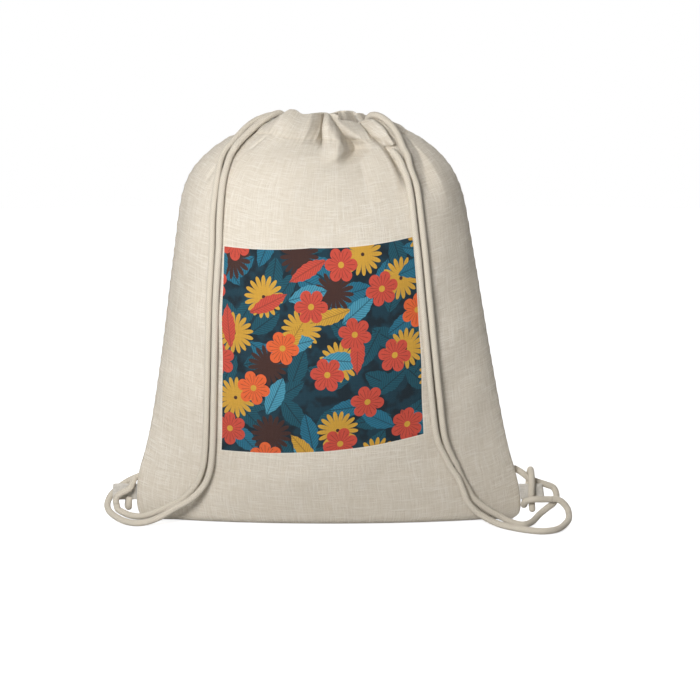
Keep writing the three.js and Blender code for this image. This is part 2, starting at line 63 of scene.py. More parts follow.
# %% Place the camera
CAMERA_TARGET = Vector((0.021, 0.0, 0.173))
CAMERA_DISTANCE = 1.65
CAMERA_RISE = math.radians(9.0)  # above the level line through the target
LENS_MM = 85.0
SENSOR_MM = 36.0

camera_data = bpy.data.cameras.new("Camera")
camera_data.lens = LENS_MM
camera_data.sensor_width = SENSOR_MM
camera = bpy.data.objects.new("Camera", camera_data)
toward_camera = Vector((0, -math.cos(CAMERA_RISE), math.sin(CAMERA_RISE)))
camera.location = CAMERA_TARGET + CAMERA_DISTANCE * toward_camera
camera.rotation_euler = (math.pi / 2 - CAMERA_RISE, 0, 0)
bpy.context.scene.collection.objects.link(camera)
bpy.context.scene.camera = camera
print("camera at", tuple(round(c, 3) for c in camera.location))

# %% [markdown]
# ## Helpers for curves and meshes
#
# A few helpers serve every piece. `columns` turns a short table into one array for each named column,
# and `read` follows a smooth curve through such a table. `new_mesh` makes an object from arrays, which is
# far quicker than adding points one at a time, and keeps any UV maps that come with it.

# %% Tables, smooth curves and meshes
MM = 0.001


def columns(names, *rows):
    """A table as one array for each named column."""
    return dict(zip(names.split(), np.array(rows, dtype=float).T))


def clamp01(x):
    return np.clip(x, 0.0, 1.0)


def smooth(x):
    x = clamp01(x)
    return x * x * (3 - 2 * x)


def mix(a, b, w):
    return a + (b - a) * w


def read(table, column, share, by="share"):
    """The value of a column at a share, on a smooth curve through the table's rows."""
    x, y = table[by], table[column]
    before = np.maximum(np.arange(len(x)) - 1, 0)
    after = np.minimum(np.arange(len(x)) + 1, len(x) - 1)
    slope = (y[after] - y[before]) / (x[after] - x[before])
    i = np.clip(np.searchsorted(x, share, side="left") - 1, 0, len(x) - 2)
    step = x[i + 1] - x[i]
    w = clamp01((share - x[i]) / step)
    return (
        y[i] * (1 + 2 * w) * (1 - w) ** 2
        + y[i + 1] * w * w * (3 - 2 * w)
        + slope[i] * step * w * (1 - w) ** 2
        + slope[i + 1] * step * w * w * (w - 1)
    )


def unit(vectors):
    return vectors / np.maximum(np.linalg.norm(vectors, axis=-1, keepdims=True), 1e-12)


def new_mesh(name, points, faces, corner_maps=None, slots=None, materials=()):
    """An object from points and arrays of faces. corner_maps gives each UV map's values, corner by corner."""
    mesh = bpy.data.meshes.new(name)
    corners = np.concatenate([np.ravel(group) for group in faces]).astype(np.int32)
    sizes = np.concatenate([np.full(len(group), group.shape[1]) for group in faces])
    mesh.vertices.add(len(points))
    mesh.vertices.foreach_set("co", np.asarray(points, dtype=np.float32).ravel())
    mesh.loops.add(len(corners))
    mesh.loops.foreach_set("vertex_index", corners)
    mesh.polygons.add(len(sizes))
    mesh.polygons.foreach_set("loop_start", (np.cumsum(sizes) - sizes).astype(np.int32))
    mesh.polygons.foreach_set("use_smooth", np.ones(len(sizes), dtype=bool))
    if slots is not None:
        mesh.polygons.foreach_set("material_index", np.asarray(slots, dtype=np.int32))
    for label, values in (corner_maps or {}).items():
        layer = mesh.uv_layers.new(name=label)
        layer.data.foreach_set("uv", np.asarray(values, dtype=np.float32).ravel())
    mesh.update(calc_edges=True)
    mesh.validate()
    for material in materials:
        mesh.materials.append(material)
    piece = bpy.data.objects.new(name, mesh)
    bpy.context.scene.collection.objects.link(piece)
    return piece


# %% [markdown]
# ## The shape of the filled bag
#
# Cloth doesn't stretch much, so each panel is described by where its cloth went. A place on the flat
# panel is given by `across`, from the panel's middle, and `high`, from the bottom seam. The lowest cloth
# lies on the floor, then it bends, and then it stands up as the wall. Two tables hold the wall's
# outline: one for the side seams and one for the middle. Between them, each level section is a curve
# whose `square` goes from a parabola with pointed ends, low down, to an ellipse at the mouth.

# %% The cloth's cut and its outline
CLOTH_WIDTH = 0.390
CLOTH_HEIGHT = 0.450
CLOTH_THICK = 1.6 * MM
CHANNEL_TALL = 0.028
HEM_THICK = 2.8 * MM
CHANNEL_PUFF = 2.0 * MM
SEAM_GAP = 0.3 * MM
SEAM_TURN = 3.0 * MM
SEAM_ROUND = 2.2 * MM
CHANNEL_RISE = 4 * MM  # below the stitches, over which the second layer begins
FLOOR_BEND = 0.009
HALF_CLOTH = CLOTH_WIDTH / 2
STITCH_LINE = CLOTH_HEIGHT - CHANNEL_TALL
NORMAL_STEP = 2 * MM
FRONT, BACK = -1, 1
LEFT, RIGHT = -1, 1

SEAM_LINE = columns(
    "share out shift up",
    (0, 0.186, 0, 0),
    (0.02, 0.193, 0, 0.007),
    (0.06, 0.194, -0.001, 0.026),
    (0.11, 0.190, -0.002, 0.049),
    (0.165, 0.183, -0.002, 0.073),
    (0.24, 0.1755, -0.002, 0.106),
    (0.4, 0.163, -0.003, 0.177),
    (0.62, 0.1475, -0.005, 0.275),
    (0.74, 0.138, -0.006, 0.328),
    (0.8, 0.128, -0.006, 0.352),
    (0.85, 0.113, -0.005, 0.3695),
    (0.9, 0.094, -0.004, 0.3835),
    (0.95, 0.075, -0.002, 0.392),
    (1, 0.055, -0.001, 0.400),
)
MIDDLE_LINE = columns(
    "share out up square",
    (0, 0.025, 0, 0.85),
    (0.06, 0.034, 0.024, 0.95),
    (0.15, 0.047, 0.060, 0.95),
    (0.28, 0.060, 0.114, 0.8),
    (0.42, 0.069, 0.172, 0.68),
    (0.55, 0.073, 0.226, 0.62),
    (0.68, 0.072, 0.281, 0.58),
    (0.78, 0.066, 0.322, 0.55),
    (0.86, 0.056, 0.355, 0.52),
    (0.93, 0.042, 0.382, 0.5),
    (1, 0.027, 0.409, 0.5),
)

# How far the gathered rim stands above or below its even line
RIM_LINE = columns(
    "across front back",
    (-0.195, 0, 0),
    (-0.150, 0, 0.002),
    (-0.125, 0.004, 0.001),
    (-0.108, 0.006, 0),
    (-0.090, 0.004, -0.002),
    (-0.070, -0.001, -0.002),
    (-0.020, -0.002, -0.003),
    (0.010, -0.003, -0.002),
    (0.040, -0.007, 0),
    (0.080, -0.0075, 0.001),
    (0.100, -0.0085, 0),
    (0.118, -0.0035, 0),
    (0.140, -0.001, -0.002),
    (0.195, 0, 0),
)
RIM_REACH = 0.11  # the share of the wall over which that dies out


def fold(left, right, *rows):
    """A fold: a line down the cloth, with how deep it sinks there, and how far it slopes on each side."""
    return dict(left=left, right=right, line=columns("high across depth", *rows))


FRONT_FOLDS = [
    # the pressed fold beside the middle: its long slope on the left, and its slot
    fold(0.034, 0.012, (0.402, -0.016, 0), (0.414, -0.008, 0.004), (0.4205, -0.0065, 0.015),
         (0.436, -0.0090, 0.020), (0.450, -0.012, 0.017)),
    fold(0.010, 0.006, (0.411, -0.004, 0), (0.4175, -0.0055, 0.009), (0.429, -0.0080, 0.013),
         (0.440, -0.0095, 0.012), (0.450, -0.012, 0.008)),
    # the ridge to the right of the slot, and the crescent that it dives into
    fold(0.026, 0.018, (0.390, 0.025, 0), (0.400, 0.021, -0.004), (0.410, 0.022, -0.007),
         (0.420, 0.025, -0.008), (0.430, 0.021, -0.007), (0.440, 0.012, -0.005),
         (0.450, -0.002, -0.004)),
    fold(0.030, 0.020, (0.388, 0.021, 0), (0.395, 0.033, 0.006), (0.402, 0.050, 0.013),
         (0.408, 0.061, 0.018), (0.414, 0.062, 0.019), (0.424, 0.050, 0.016), (0.435, 0.035, 0.011),
         (0.450, 0.010, 0.007)),
    # the broad dip below them
    fold(0.105, 0.045, (0.335, 0.058, 0), (0.350, 0.058, 0.0015), (0.370, 0.057, 0.005),
         (0.390, 0.056, 0.007), (0.410, 0.058, 0.006), (0.450, 0.060, 0.003)),
    # the long crease beside the right cords, and the end of the channel between it and them
    fold(0.014, 0.008, (0.358, 0.106, 0), (0.370, 0.109, 0.003), (0.385, 0.111, 0.007),
         (0.398, 0.110, 0.009), (0.407, 0.108, 0.010), (0.416, 0.103, 0.010), (0.428, 0.099, 0.010),
         (0.440, 0.103, 0.011), (0.450, 0.108, 0.012)),
    fold(0.013, 0.011, (0.4055, 0.112, 0), (0.409, 0.113, -0.0085), (0.425, 0.116, -0.0085),
         (0.440, 0.120, -0.007), (0.450, 0.124, -0.005)),
    # the valley that the left cords lie in, and the bulge to its right
    fold(0.024, 0.012, (0.335, -0.118, 0), (0.352, -0.121, 0.0015), (0.375, -0.129, 0.002),
         (0.395, -0.139, 0.003), (0.410, -0.147, 0.0045), (0.421, -0.153, 0.0085),
         (0.436, -0.160, 0.010), (0.450, -0.166, 0.006)),
    fold(0.030, 0.045, (0.375, -0.092, 0), (0.410, -0.098, -0.002), (0.435, -0.103, -0.004),
         (0.450, -0.108, -0.004)),
]
BACK_FOLDS = [
    fold(0.026, 0.010, (0.350, -0.115, 0), (0.390, -0.122, 0.004), (0.420, -0.128, 0.008),
         (0.450, -0.132, 0.012)),
    fold(0.012, 0.030, (0.390, -0.085, 0), (0.420, -0.083, 0.006), (0.450, -0.080, 0.012)),
    fold(0.028, 0.010, (0.340, -0.020, 0), (0.385, -0.028, 0.004), (0.420, -0.036, 0.008),
         (0.450, -0.040, 0.011)),
    fold(0.014, 0.020, (0.392, 0.002, 0), (0.420, 0.003, 0.007), (0.450, 0.004, 0.012)),
    fold(0.010, 0.030, (0.345, 0.070, 0), (0.385, 0.060, 0.004), (0.420, 0.052, 0.008),
         (0.450, 0.048, 0.011)),
    fold(0.016, 0.012, (0.395, 0.090, 0), (0.420, 0.092, 0.006), (0.450, 0.094, 0.012)),
    fold(0.010, 0.028, (0.355, 0.128, 0), (0.395, 0.132, 0.004), (0.425, 0.135, 0.008),
         (0.450, 0.136, 0.011)),
]
print(f"a panel is {CLOTH_WIDTH} by {CLOTH_HEIGHT} m of cloth")

# %% Where a place on the cloth went
SECTION_STEPS = 48
LEAST_COSINE = 0.02
SEWN_MARGIN = 0.016  # the folds die out this far from the side seam
FOLD_FLANK = 1.15  # 1 makes a fold's flanks straight, and more makes them run out more gently


def section_out(angle, square):
    return np.maximum(0, np.cos(angle)) ** (2 * square)


def even_angle(across, out, deep, square):
    """The section's angle that has as much of its length on the left as the flat cloth has."""
    angle = np.pi * (np.arange(SECTION_STEPS + 1) / SECTION_STEPS - 0.5)
    rise = deep[..., None] * np.diff(section_out(angle, square[..., None]), axis=-1)
    pieces = np.hypot(out[..., None] * np.diff(np.sin(angle)), rise)
    lengths = np.concatenate([np.zeros(pieces.shape[:-1] + (1,)), np.cumsum(pieces, axis=-1)], axis=-1)
    wanted = clamp01((across / HALF_CLOTH + 1) / 2) * lengths[..., -1]
    i = np.clip((lengths < wanted[..., None]).sum(-1), 1, SECTION_STEPS)
    low = np.take_along_axis(lengths, i[..., None] - 1, axis=-1)[..., 0]
    high = np.take_along_axis(lengths, i[..., None], axis=-1)[..., 0]
    return np.pi * ((i - 1 + (wanted - low) / (high - low)) / SECTION_STEPS - 0.5)


def fold_depth(fold, across, high):
    """How deep one fold is at a place on the cloth."""
    line = fold["line"]
    at = np.interp(high, line["high"], line["across"])
    depth = np.interp(high, line["high"], line["depth"])
    width = np.where(across < at, fold["left"], fold["right"])
    return depth * np.maximum(0, 1 - np.abs(across - at) / width) ** FOLD_FLANK


def folds_at(folds, across, high):
    """How deep all the folds are together. They die out at the side seams."""
    sewn = smooth((HALF_CLOTH - np.abs(across)) / SEWN_MARGIN)
    return sewn * sum((fold_depth(fold, across, high) for fold in folds), np.zeros_like(high))


def wall_point(side, across, high, on_floor):
    """A point of the outer face of the wall that stands above the floor."""
    share = (high - on_floor) / (CLOTH_HEIGHT - on_floor)
    out = read(SEAM_LINE, "out", share)
    deep = read(MIDDLE_LINE, "out", share)
    square = read(MIDDLE_LINE, "square", share)
    angle = even_angle(across, out, deep, square)
    sine, cosine = np.sin(angle), np.maximum(LEAST_COSINE, np.cos(angle))
    lip = clamp01(1 - (HALF_CLOTH - np.abs(across)) / SEAM_TURN)
    turn = SEAM_ROUND * np.sqrt(1 - lip * lip)
    slope = -2 * square * deep * cosine ** (2 * square - 1) * sine
    run = out * cosine
    length = np.hypot(slope, run)
    sink = folds_at(FRONT_FOLDS if side == FRONT else BACK_FOLDS, across, high)
    lift = read(RIM_LINE, "front" if side == FRONT else "back", across, by="across")
    lift = lift * smooth(1 - (1 - share) / RIM_REACH)
    x = out * sine + read(SEAM_LINE, "shift", share) + sink * slope / length
    y = SEAM_GAP / 2 + turn + deep * section_out(angle, square) - sink * run / length
    up = mix(read(MIDDLE_LINE, "up", share), read(SEAM_LINE, "up", share), sine * sine) + lift
    return np.stack([x, side * y, up], axis=-1)


def floor_cloth(across):
    """How much of a panel's cloth lies on the floor, between the bottom seam and the wall."""
    out = np.full_like(across, MIDDLE_LINE["out"][0])
    square = np.full_like(across, MIDDLE_LINE["square"][0])
    half = np.full_like(across, SEAM_LINE["out"][0])
    return out * section_out(even_angle(across, half, out, square), square)


def cloth_point(side, across, high):
    """Points of a panel's outer face from their places on the flat cloth."""
    across, high = np.broadcast_arrays(np.asarray(across, float), np.asarray(high, float))
    on_floor = floor_cloth(across)
    bend = np.minimum(FLOOR_BEND, on_floor)

    def wall_at(h):
        return wall_point(side, across, h, on_floor)

    foot = wall_at(on_floor)

    def floor_at(h):
        sewn = clamp01(h / np.maximum(MM, on_floor))
        away = mix(SEAM_GAP / 2, np.abs(foot[..., 1]), sewn)
        return np.stack([foot[..., 0], side * away, np.zeros_like(h)], -1)

    w = clamp01((high - on_floor + bend) / np.maximum(2 * bend, 1e-9))[..., None]
    bent = floor_at(on_floor - bend) * (1 - w) ** 2 + foot * 2 * w * (1 - w)
    bent = bent + wall_at(on_floor + bend) * w * w
    on_wall = (high >= on_floor + bend)[..., None]
    flat = (high <= on_floor - bend)[..., None]
    return np.where(on_wall, wall_at(high), np.where(flat, floor_at(high), bent))


def cloth_normal(side, across, high):
    """The direction that a panel's outer face looks in."""
    step = NORMAL_STEP
    inner = HALF_CLOTH - SEAM_TURN
    across, high = np.broadcast_arrays(np.asarray(across, float), np.asarray(high, float))
    s = np.clip(across, step - inner, inner - step)
    h = np.clip(high, step, CLOTH_HEIGHT - step)
    sideways = cloth_point(side, s + step, h) - cloth_point(side, s - step, h)
    upward = cloth_point(side, s, h + step) - cloth_point(side, s, h - step)
    normal = unit(np.cross(sideways, upward) * -side)
    lip = clamp01(1 - (HALF_CLOTH - np.abs(across)) / SEAM_TURN) * clamp01(high / FLOOR_BEND)
    seamward = np.stack([np.sign(across), np.zeros_like(across), np.zeros_like(across)], axis=-1)
    return unit(mix(normal, seamward, lip[..., None]))


def channel_puff(high):
    """How far the channel's outer and inner faces stand out beyond one layer of cloth."""
    inside = clamp01((high - STITCH_LINE) / CHANNEL_TALL)
    swell = CHANNEL_PUFF * np.sin(np.pi * inside)
    layers = (HEM_THICK - CLOTH_THICK) * smooth((high - STITCH_LINE + CHANNEL_RISE) / CHANNEL_RISE)
    return swell, layers + swell / 2


rim = cloth_point(FRONT, np.array([-0.1, 0.0, 0.1]), CLOTH_HEIGHT)
print("three points of the front rim:", np.round(rim, 4).tolist())

# %% [markdown]
# ## Where the cords run
#
# A cord is a limp line of a fixed length. Each shoulder strap is a pair: both leave the channel at the
# mouth, lie on the front, hang clear of the tapering lower wall and reach the floor in front of the
# corner. One of the pair is knotted round the cloth tab there, and the other passes round the tab and
# ends behind the bag. The route's points are listed, on the cloth where the cord lies on it and
# in space where it hangs. A centripetal Catmull-Rom curve goes through all of them without overshoot.

# %% Routes of the cords
CORD_ACROSS = 6.4 * MM
CORD_REST = CORD_ACROSS / 2 + 0.7 * MM  # from the cloth to the middle of a cord that lies on it
ROUTE_STEPS = 24  # between two points of a route


def on_front(across, high, lift=CORD_REST):
    """The middle of a cord that lies on the front panel, or is lifted off it."""
    clear = lift + channel_puff(np.float64(high))[0]
    return cloth_point(FRONT, across, high) + cloth_normal(FRONT, across, high) * clear


# Plain triples are points in space
LEFT_OUTER = [
    (-0.038, -0.003, 0.397), (-0.042, -0.0045, 0.403), (-0.047, -0.0075, 0.407),
    (-0.052, -0.011, 0.4062), (-0.0584, -0.0152, 0.4032), (-0.0665, -0.0198, 0.3978),
    (-0.0742, -0.0248, 0.3910), (-0.0825, -0.0295, 0.3830), (-0.0887, -0.0343, 0.3756),
    on_front(-0.134, 0.388), on_front(-0.129, 0.380), on_front(-0.1225, 0.366),
    on_front(-0.1175, 0.348), on_front(-0.1145, 0.326), on_front(-0.113, 0.304),
    on_front(-0.114, 0.252), on_front(-0.1145, 0.203), on_front(-0.1155, 0.152),
    on_front(-0.116, 0.102), on_front(-0.1165, 0.080), on_front(-0.119, 0.066, 0.0045),
    (-0.128, -0.034, 0.037), (-0.138, -0.035, 0.028), (-0.152, -0.035, 0.020),
    (-0.167, -0.035, 0.011), (-0.182, -0.033, 0.005), (-0.195, -0.0305, 0.0035),
    (-0.209, -0.022, 0.005), (-0.221, -0.012, 0.0105), (-0.2245, -0.002, 0.0155),
    (-0.222, 0.008, 0.0225), (-0.2155, 0.013, 0.0285), (-0.2065, 0.017, 0.0345),
    (-0.198, 0.018, 0.0385), (-0.187, 0.021, 0.042),
]
LEFT_INNER = [
    (-0.038, 0.004, 0.396), (-0.043, 0.003, 0.4015), (-0.049, 0.001, 0.4045),
    (-0.056, -0.002, 0.405), (-0.0635, -0.0058, 0.403), (-0.071, -0.0096, 0.3998),
    (-0.079, -0.015, 0.394), (-0.086, -0.021, 0.3868), (-0.0925, -0.0265, 0.3795),
    on_front(-0.1495, 0.391), on_front(-0.1425, 0.380), on_front(-0.133, 0.366),
    on_front(-0.127, 0.348), on_front(-0.1235, 0.325), on_front(-0.1215, 0.300),
    on_front(-0.122, 0.250), on_front(-0.1225, 0.201), on_front(-0.1235, 0.150),
    on_front(-0.124, 0.098), on_front(-0.1245, 0.081), (-0.131, -0.029, 0.044),
    (-0.1385, -0.027, 0.034), (-0.147, -0.0255, 0.026), (-0.1575, -0.0245, 0.020),
    (-0.168, -0.024, 0.015), (-0.178, -0.0235, 0.011), (-0.1885, -0.022, 0.008),
    (-0.199, -0.0185, 0.008), (-0.2075, -0.015, 0.0105), (-0.2126, -0.0132, 0.0135),
    (-0.2139, -0.0126, 0.0185),
]
LEFT_KNOT = [
    (-0.214, -0.01255, 0.0191), (-0.2144, -0.0125, 0.022), (-0.213, -0.0125, 0.026),
    (-0.2085, -0.0128, 0.0295), (-0.201, -0.0115, 0.0335), (-0.198, -0.0055, 0.0385),
    (-0.198, 0.0025, 0.040), (-0.200, 0.009, 0.035), (-0.203, 0.010, 0.026),
    (-0.2045, 0.0085, 0.0175), (-0.2045, 0.002, 0.0135), (-0.2025, -0.005, 0.0135),
    (-0.202, -0.007, 0.019), (-0.2015, -0.0063, 0.0245),
]
RIGHT_OUTER = [
    (0.0598, -0.0444, 0.3740), (0.0640, -0.0462, 0.3695), (0.0682, -0.0482, 0.3640),
    (0.0722, -0.0508, 0.3548), (0.0754, -0.0535, 0.3465), (0.0778, -0.0562, 0.3360),
    on_front(0.1040, 0.346), on_front(0.1025, 0.325), on_front(0.103, 0.296),
    on_front(0.1035, 0.254), on_front(0.1055, 0.205), on_front(0.1085, 0.154),
    on_front(0.113, 0.112), on_front(0.119, 0.094, 0.005), on_front(0.124, 0.080, 0.007),
    (0.128, -0.036, 0.050), (0.133, -0.036, 0.038), (0.138, -0.036, 0.026), (0.147, -0.036, 0.016),
    (0.157, -0.037, 0.0095), (0.168, -0.040, 0.005), (0.180, -0.047, 0.0035),
    (0.194, -0.057, 0.0035), (0.2095, -0.062, 0.0035), (0.223, -0.056, 0.0035),
    (0.234, -0.038, 0.004), (0.2405, -0.020, 0.007), (0.2395, -0.012, 0.014),
    (0.2335, -0.010, 0.0205), (0.229, -0.0096, 0.0223), (0.2245, -0.0098, 0.0224),
]
RIGHT_INNER = [
    (0.037, -0.002, 0.393), (0.0375, -0.006, 0.3995), (0.0415, -0.0125, 0.405),
    (0.0485, -0.0195, 0.4048), (0.0568, -0.0246, 0.3998), (0.0638, -0.0296, 0.392),
    (0.0684, -0.035, 0.3835), (0.072, -0.0395, 0.3745), on_front(0.122, 0.391),
    on_front(0.118, 0.378), on_front(0.1155, 0.362), on_front(0.113, 0.346),
    on_front(0.1115, 0.325), on_front(0.1115, 0.296), on_front(0.112, 0.253),
    on_front(0.114, 0.203), on_front(0.1175, 0.152), on_front(0.1215, 0.110),
    on_front(0.127, 0.092), on_front(0.131, 0.080), on_front(0.1345, 0.066), (0.138, -0.026, 0.038),
    (0.143, -0.026, 0.029), (0.151, -0.026, 0.0215), (0.161, -0.026, 0.0145),
    (0.173, -0.027, 0.008), (0.184, -0.033, 0.004), (0.193, -0.037, 0.0035),
    (0.2025, -0.027, 0.0036), (0.212, -0.013, 0.008), (0.2195, -0.009, 0.013),
    (0.227, -0.003, 0.017), (0.2305, 0.0035, 0.023), (0.228, 0.0075, 0.030), (0.220, 0.008, 0.0335),
    (0.211, 0.0075, 0.0365), (0.203, 0.0075, 0.040), (0.195, 0.009, 0.046), (0.186, 0.013, 0.0505),
]
RIGHT_KNOT = [
    (0.2241, -0.0098, 0.0224), (0.2195, -0.0102, 0.0225), (0.2135, -0.0122, 0.0229),
    (0.2055, -0.014, 0.0233), (0.1985, -0.0115, 0.021), (0.197, -0.0045, 0.0155),
    (0.198, 0.005, 0.0145), (0.201, 0.0125, 0.020), (0.203, 0.0153, 0.031),
    (0.2038, 0.0147, 0.0425), (0.204, 0.008, 0.049), (0.204, -0.0005, 0.048),
    (0.204, -0.0055, 0.042), (0.204, -0.0064, 0.033), (0.204, -0.0064, 0.024),
    (0.2045, -0.008, 0.015), (0.205, -0.0095, 0.009),
]


def along_route(points, step):
    """Evenly spaced points on the centripetal Catmull-Rom curve through a route's points."""
    route = np.array(points)
    ends = np.vstack([2 * route[0] - route[1], route, 2 * route[-1] - route[-2]])
    t = np.linspace(0, 1, ROUTE_STEPS, endpoint=False)[:, None]
    found = []
    for p0, p1, p2, p3 in zip(ends, ends[1:], ends[2:], ends[3:]):
        d0, d1, d2 = (math.sqrt(np.linalg.norm(b - a)) for a, b in ((p0, p1), (p1, p2), (p2, p3)))
        leave = ((p1 - p0) / d0 - (p2 - p0) / (d0 + d1) + (p2 - p1) / d1) * d1
        arrive = ((p2 - p1) / d1 - (p3 - p1) / (d1 + d2) + (p3 - p2) / d2) * d1
        bend = -3 * p1 + 3 * p2 - 2 * leave - arrive
        close = 2 * p1 - 2 * p2 + leave + arrive
        found.append(p1 + leave * t + bend * t**2 + close * t**3)
    curve = np.vstack(found + [route[-1:]])
    gone = np.concatenate([[0], np.cumsum(np.linalg.norm(np.diff(curve, axis=0), axis=1))])
    even = np.linspace(0, gone[-1], int(round(gone[-1] / step)) + 1)
    return np.stack([np.interp(even, gone, curve[:, k]) for k in range(3)], axis=1), gone[-1]


# Each cord's node, its route, the end of it that goes on in the knot, and its own far end
CORDS = (
    ("cord_left_outer", LEFT_OUTER, "", "bare"),
    ("cord_left_inner", LEFT_INNER, "end", "knot"),
    ("knot_left", LEFT_KNOT, "start", None),
    ("cord_right_outer", RIGHT_OUTER, "end", "knot"),
    ("cord_right_inner", RIGHT_INNER, "", "bare"),
    ("knot_right", RIGHT_KNOT, "start", None),
)
for node, route, _, _ in CORDS:
    print(f"{node}: {len(route)} points, {along_route(route, MM)[1]:.4f} m")

# %% [markdown]
# ## The braided cord
#
# The cord is a soft round braid of eight strands each way. It could be a plain tube with the braid
# painted on, but a shop-window close-up shows the strands' humps on its edge. So the tube's surface is
# lifted where a strand comes over another. On the braid two sets of strands wind in opposite
# directions: `right_hand` and `left_hand` count them, and where both counts add up to an even number the
# right-hand strand is on top.

# %% A tube with a braided surface
STRANDS = 8  # in each direction
BRAID_LAY = 0.0165  # the length in which a strand goes once round
BRAID_DEPTH = 0.55 * MM
CORD_AROUND = 40  # points round the cord
CORD_STEP = 0.8 * MM  # between its rings
CORD_ROUND = 0.45 * CORD_ACROSS  # how far from its end a cord's rounding starts
CORD_TIP = 0.004  # keeps the tip from closing to a point
BRAID_SUNK = 0.75  # the share of the braid's depth that lies inside the cord's radius
BRAID_DIP = 0.45  # how much lower a strand is where it comes out from under another


def hump(x):
    """1 in the middle of every whole step of x, and 0 at its ends."""
    return 1 - (2 * (x - np.floor(x)) - 1) ** 2


def braid_height(turn, gone):
    """How high the braid stands, from 0 to 1, at a share of a turn and a length along the cord."""
    right_hand = STRANDS * (turn + gone / BRAID_LAY)
    left_hand = STRANDS * (turn - gone / BRAID_LAY)
    right_on_top = (np.floor(right_hand) + np.floor(left_hand)) % 2 == 0
    over = np.where(right_on_top, hump(right_hand), hump(left_hand))
    under = np.where(right_on_top, hump(left_hand), hump(right_hand))
    return np.sqrt(np.maximum(over, 0)) * (1 - BRAID_DIP + BRAID_DIP * under)


def across_line(line):
    """Two directions across a line at each of its points, which turn with it as little as they can."""
    ahead = unit(np.gradient(line, axis=0))
    steep = abs(ahead[0][2]) > 0.9
    sideways = [unit(np.cross(ahead[0], (1.0, 0.0, 0.0) if steep else (0.0, 0.0, 1.0)))]
    for direction in ahead[1:]:
        carried = sideways[-1] - direction * np.dot(sideways[-1], direction)
        sideways.append(carried / np.linalg.norm(carried))
    sideways = np.array(sideways)
    return sideways, np.cross(ahead, sideways)


def tube(name, line, radius_at, around, materials):
    """A closed tube along a line. radius_at gives the radius at a share of a turn and a length along it."""
    gone = np.concatenate([[0], np.cumsum(np.linalg.norm(np.diff(line, axis=0), axis=1))])
    sideways, upward = across_line(line)
    turn = np.arange(around) / around
    radius = radius_at(turn[None, :], gone[:, None])
    cosine, sine = np.cos(2 * np.pi * turn), np.sin(2 * np.pi * turn)
    ring = sideways[:, None, :] * cosine[None, :, None] + upward[:, None, :] * sine[None, :, None]
    points = (line[:, None, :] + ring * radius[..., None]).reshape(-1, 3)
    rows = np.arange(len(line) - 1)[:, None] * around
    here, following = np.arange(around), (np.arange(around) + 1) % around
    quads = np.stack([rows + here, rows + following, rows + following + around, rows + here + around], -1)
    start = np.arange(around)[::-1][None, :]
    end = start[:, ::-1] + (len(line) - 1) * around
    u = np.broadcast_to(np.stack([turn, turn + 1 / around, turn + 1 / around, turn], -1), quads.shape)
    lay = np.broadcast_to(gone[:, None] / BRAID_LAY, (len(line), around))
    v = np.stack([lay[:-1], lay[:-1], lay[1:], lay[1:]], -1)
    side_map = np.stack([u, v], -1).reshape(-1, 2)
    cap_map = np.vstack([np.stack([turn, lay[0]], -1), np.stack([turn, lay[-1]], -1)])
    return new_mesh(name, points, [quads.reshape(-1, 4), start, end],
                    {"Braid": np.vstack([side_map, cap_map])}, materials=materials)


def cord_radius(total, joined):
    """The braid's radius, rounded off at each end, but not at the one where the cord goes on in a knot."""

    def radius_at(turn, gone):
        from_start = gone + (CORD_ACROSS if joined == "start" else 0)
        from_end = total - gone + (CORD_ACROSS if joined == "end" else 0)
        near_end = clamp01(np.minimum(from_start, from_end) / CORD_ROUND)
        rounding = np.sqrt(np.maximum(CORD_TIP, 1 - (1 - near_end) ** 2))
        braid = CORD_ACROSS / 2 - BRAID_DEPTH * (BRAID_SUNK - braid_height(turn, gone))
        return braid * rounding

    return radius_at


def braided_cord(name, route, joined, materials):
    line, total = along_route(route, CORD_STEP)
    piece = tube(name, line, cord_radius(total, joined), CORD_AROUND, materials)
    print(f"{name}: {total:.4f} m, {len(piece.data.polygons)} faces")
    return piece, line, total

# %% [markdown]
# ## Small tools for materials
#
# Every finish here is made of nodes. A finish could be one long list of them, but the weave, the slubs
# and the braid are each needed in more than one material, so each is a node group with named inputs and
# outputs. `calc` adds a Math node and gives its output back, and `plus`, `times` and the like are short
# for its commonest kinds, so a formula stays readable as a line.

# %% Node helpers
def plug(tree, value, socket):
    """Joins another node's output to a socket, or sets the socket to a plain value."""
    if isinstance(value, bpy.types.NodeSocket):
        tree.links.new(value, socket)
    else:
        socket.default_value = value


def calc(tree, operation, *values):
    node = tree.nodes.new("ShaderNodeMath")
    node.operation = operation
    for value, socket in zip(values, node.inputs):
        plug(tree, value, socket)
    return node.outputs[0]


def plus(tree, a, b):
    return calc(tree, "ADD", a, b)


def minus(tree, a, b):
    return calc(tree, "SUBTRACT", a, b)


def times(tree, a, b):
    return calc(tree, "MULTIPLY", a, b)


def times_plus(tree, a, b, c):
    return calc(tree, "MULTIPLY_ADD", a, b, c)


def fraction(tree, value):
    return calc(tree, "FRACT", value)


def is_even(tree, count):
    """1 where a whole number is even, and 0 where it is odd."""
    return calc(tree, "LESS_THAN", fraction(tree, times(tree, count, 0.5)), 0.25)


def from_middle(tree, value):
    """From -1 to 1 across every whole step of a value."""
    return times_plus(tree, fraction(tree, value), 2.0, -1.0)


def between(tree, value, low, high, smoothly=True):
    """0 where a value is at low and 1 where it is at high."""
    node = tree.nodes.new("ShaderNodeMapRange")
    node.interpolation_type = "SMOOTHSTEP" if smoothly else "LINEAR"
    for socket, given in (("Value", value), ("From Min", low), ("From Max", high)):
        plug(tree, given, node.inputs[socket])
    return node.outputs["Result"]


def blend_colours(tree, share, under, over):
    node = tree.nodes.new("ShaderNodeMix")
    node.data_type = "RGBA"
    plug(tree, share, node.inputs[0])
    plug(tree, under, node.inputs[6])
    plug(tree, over, node.inputs[7])
    return node.outputs[2]


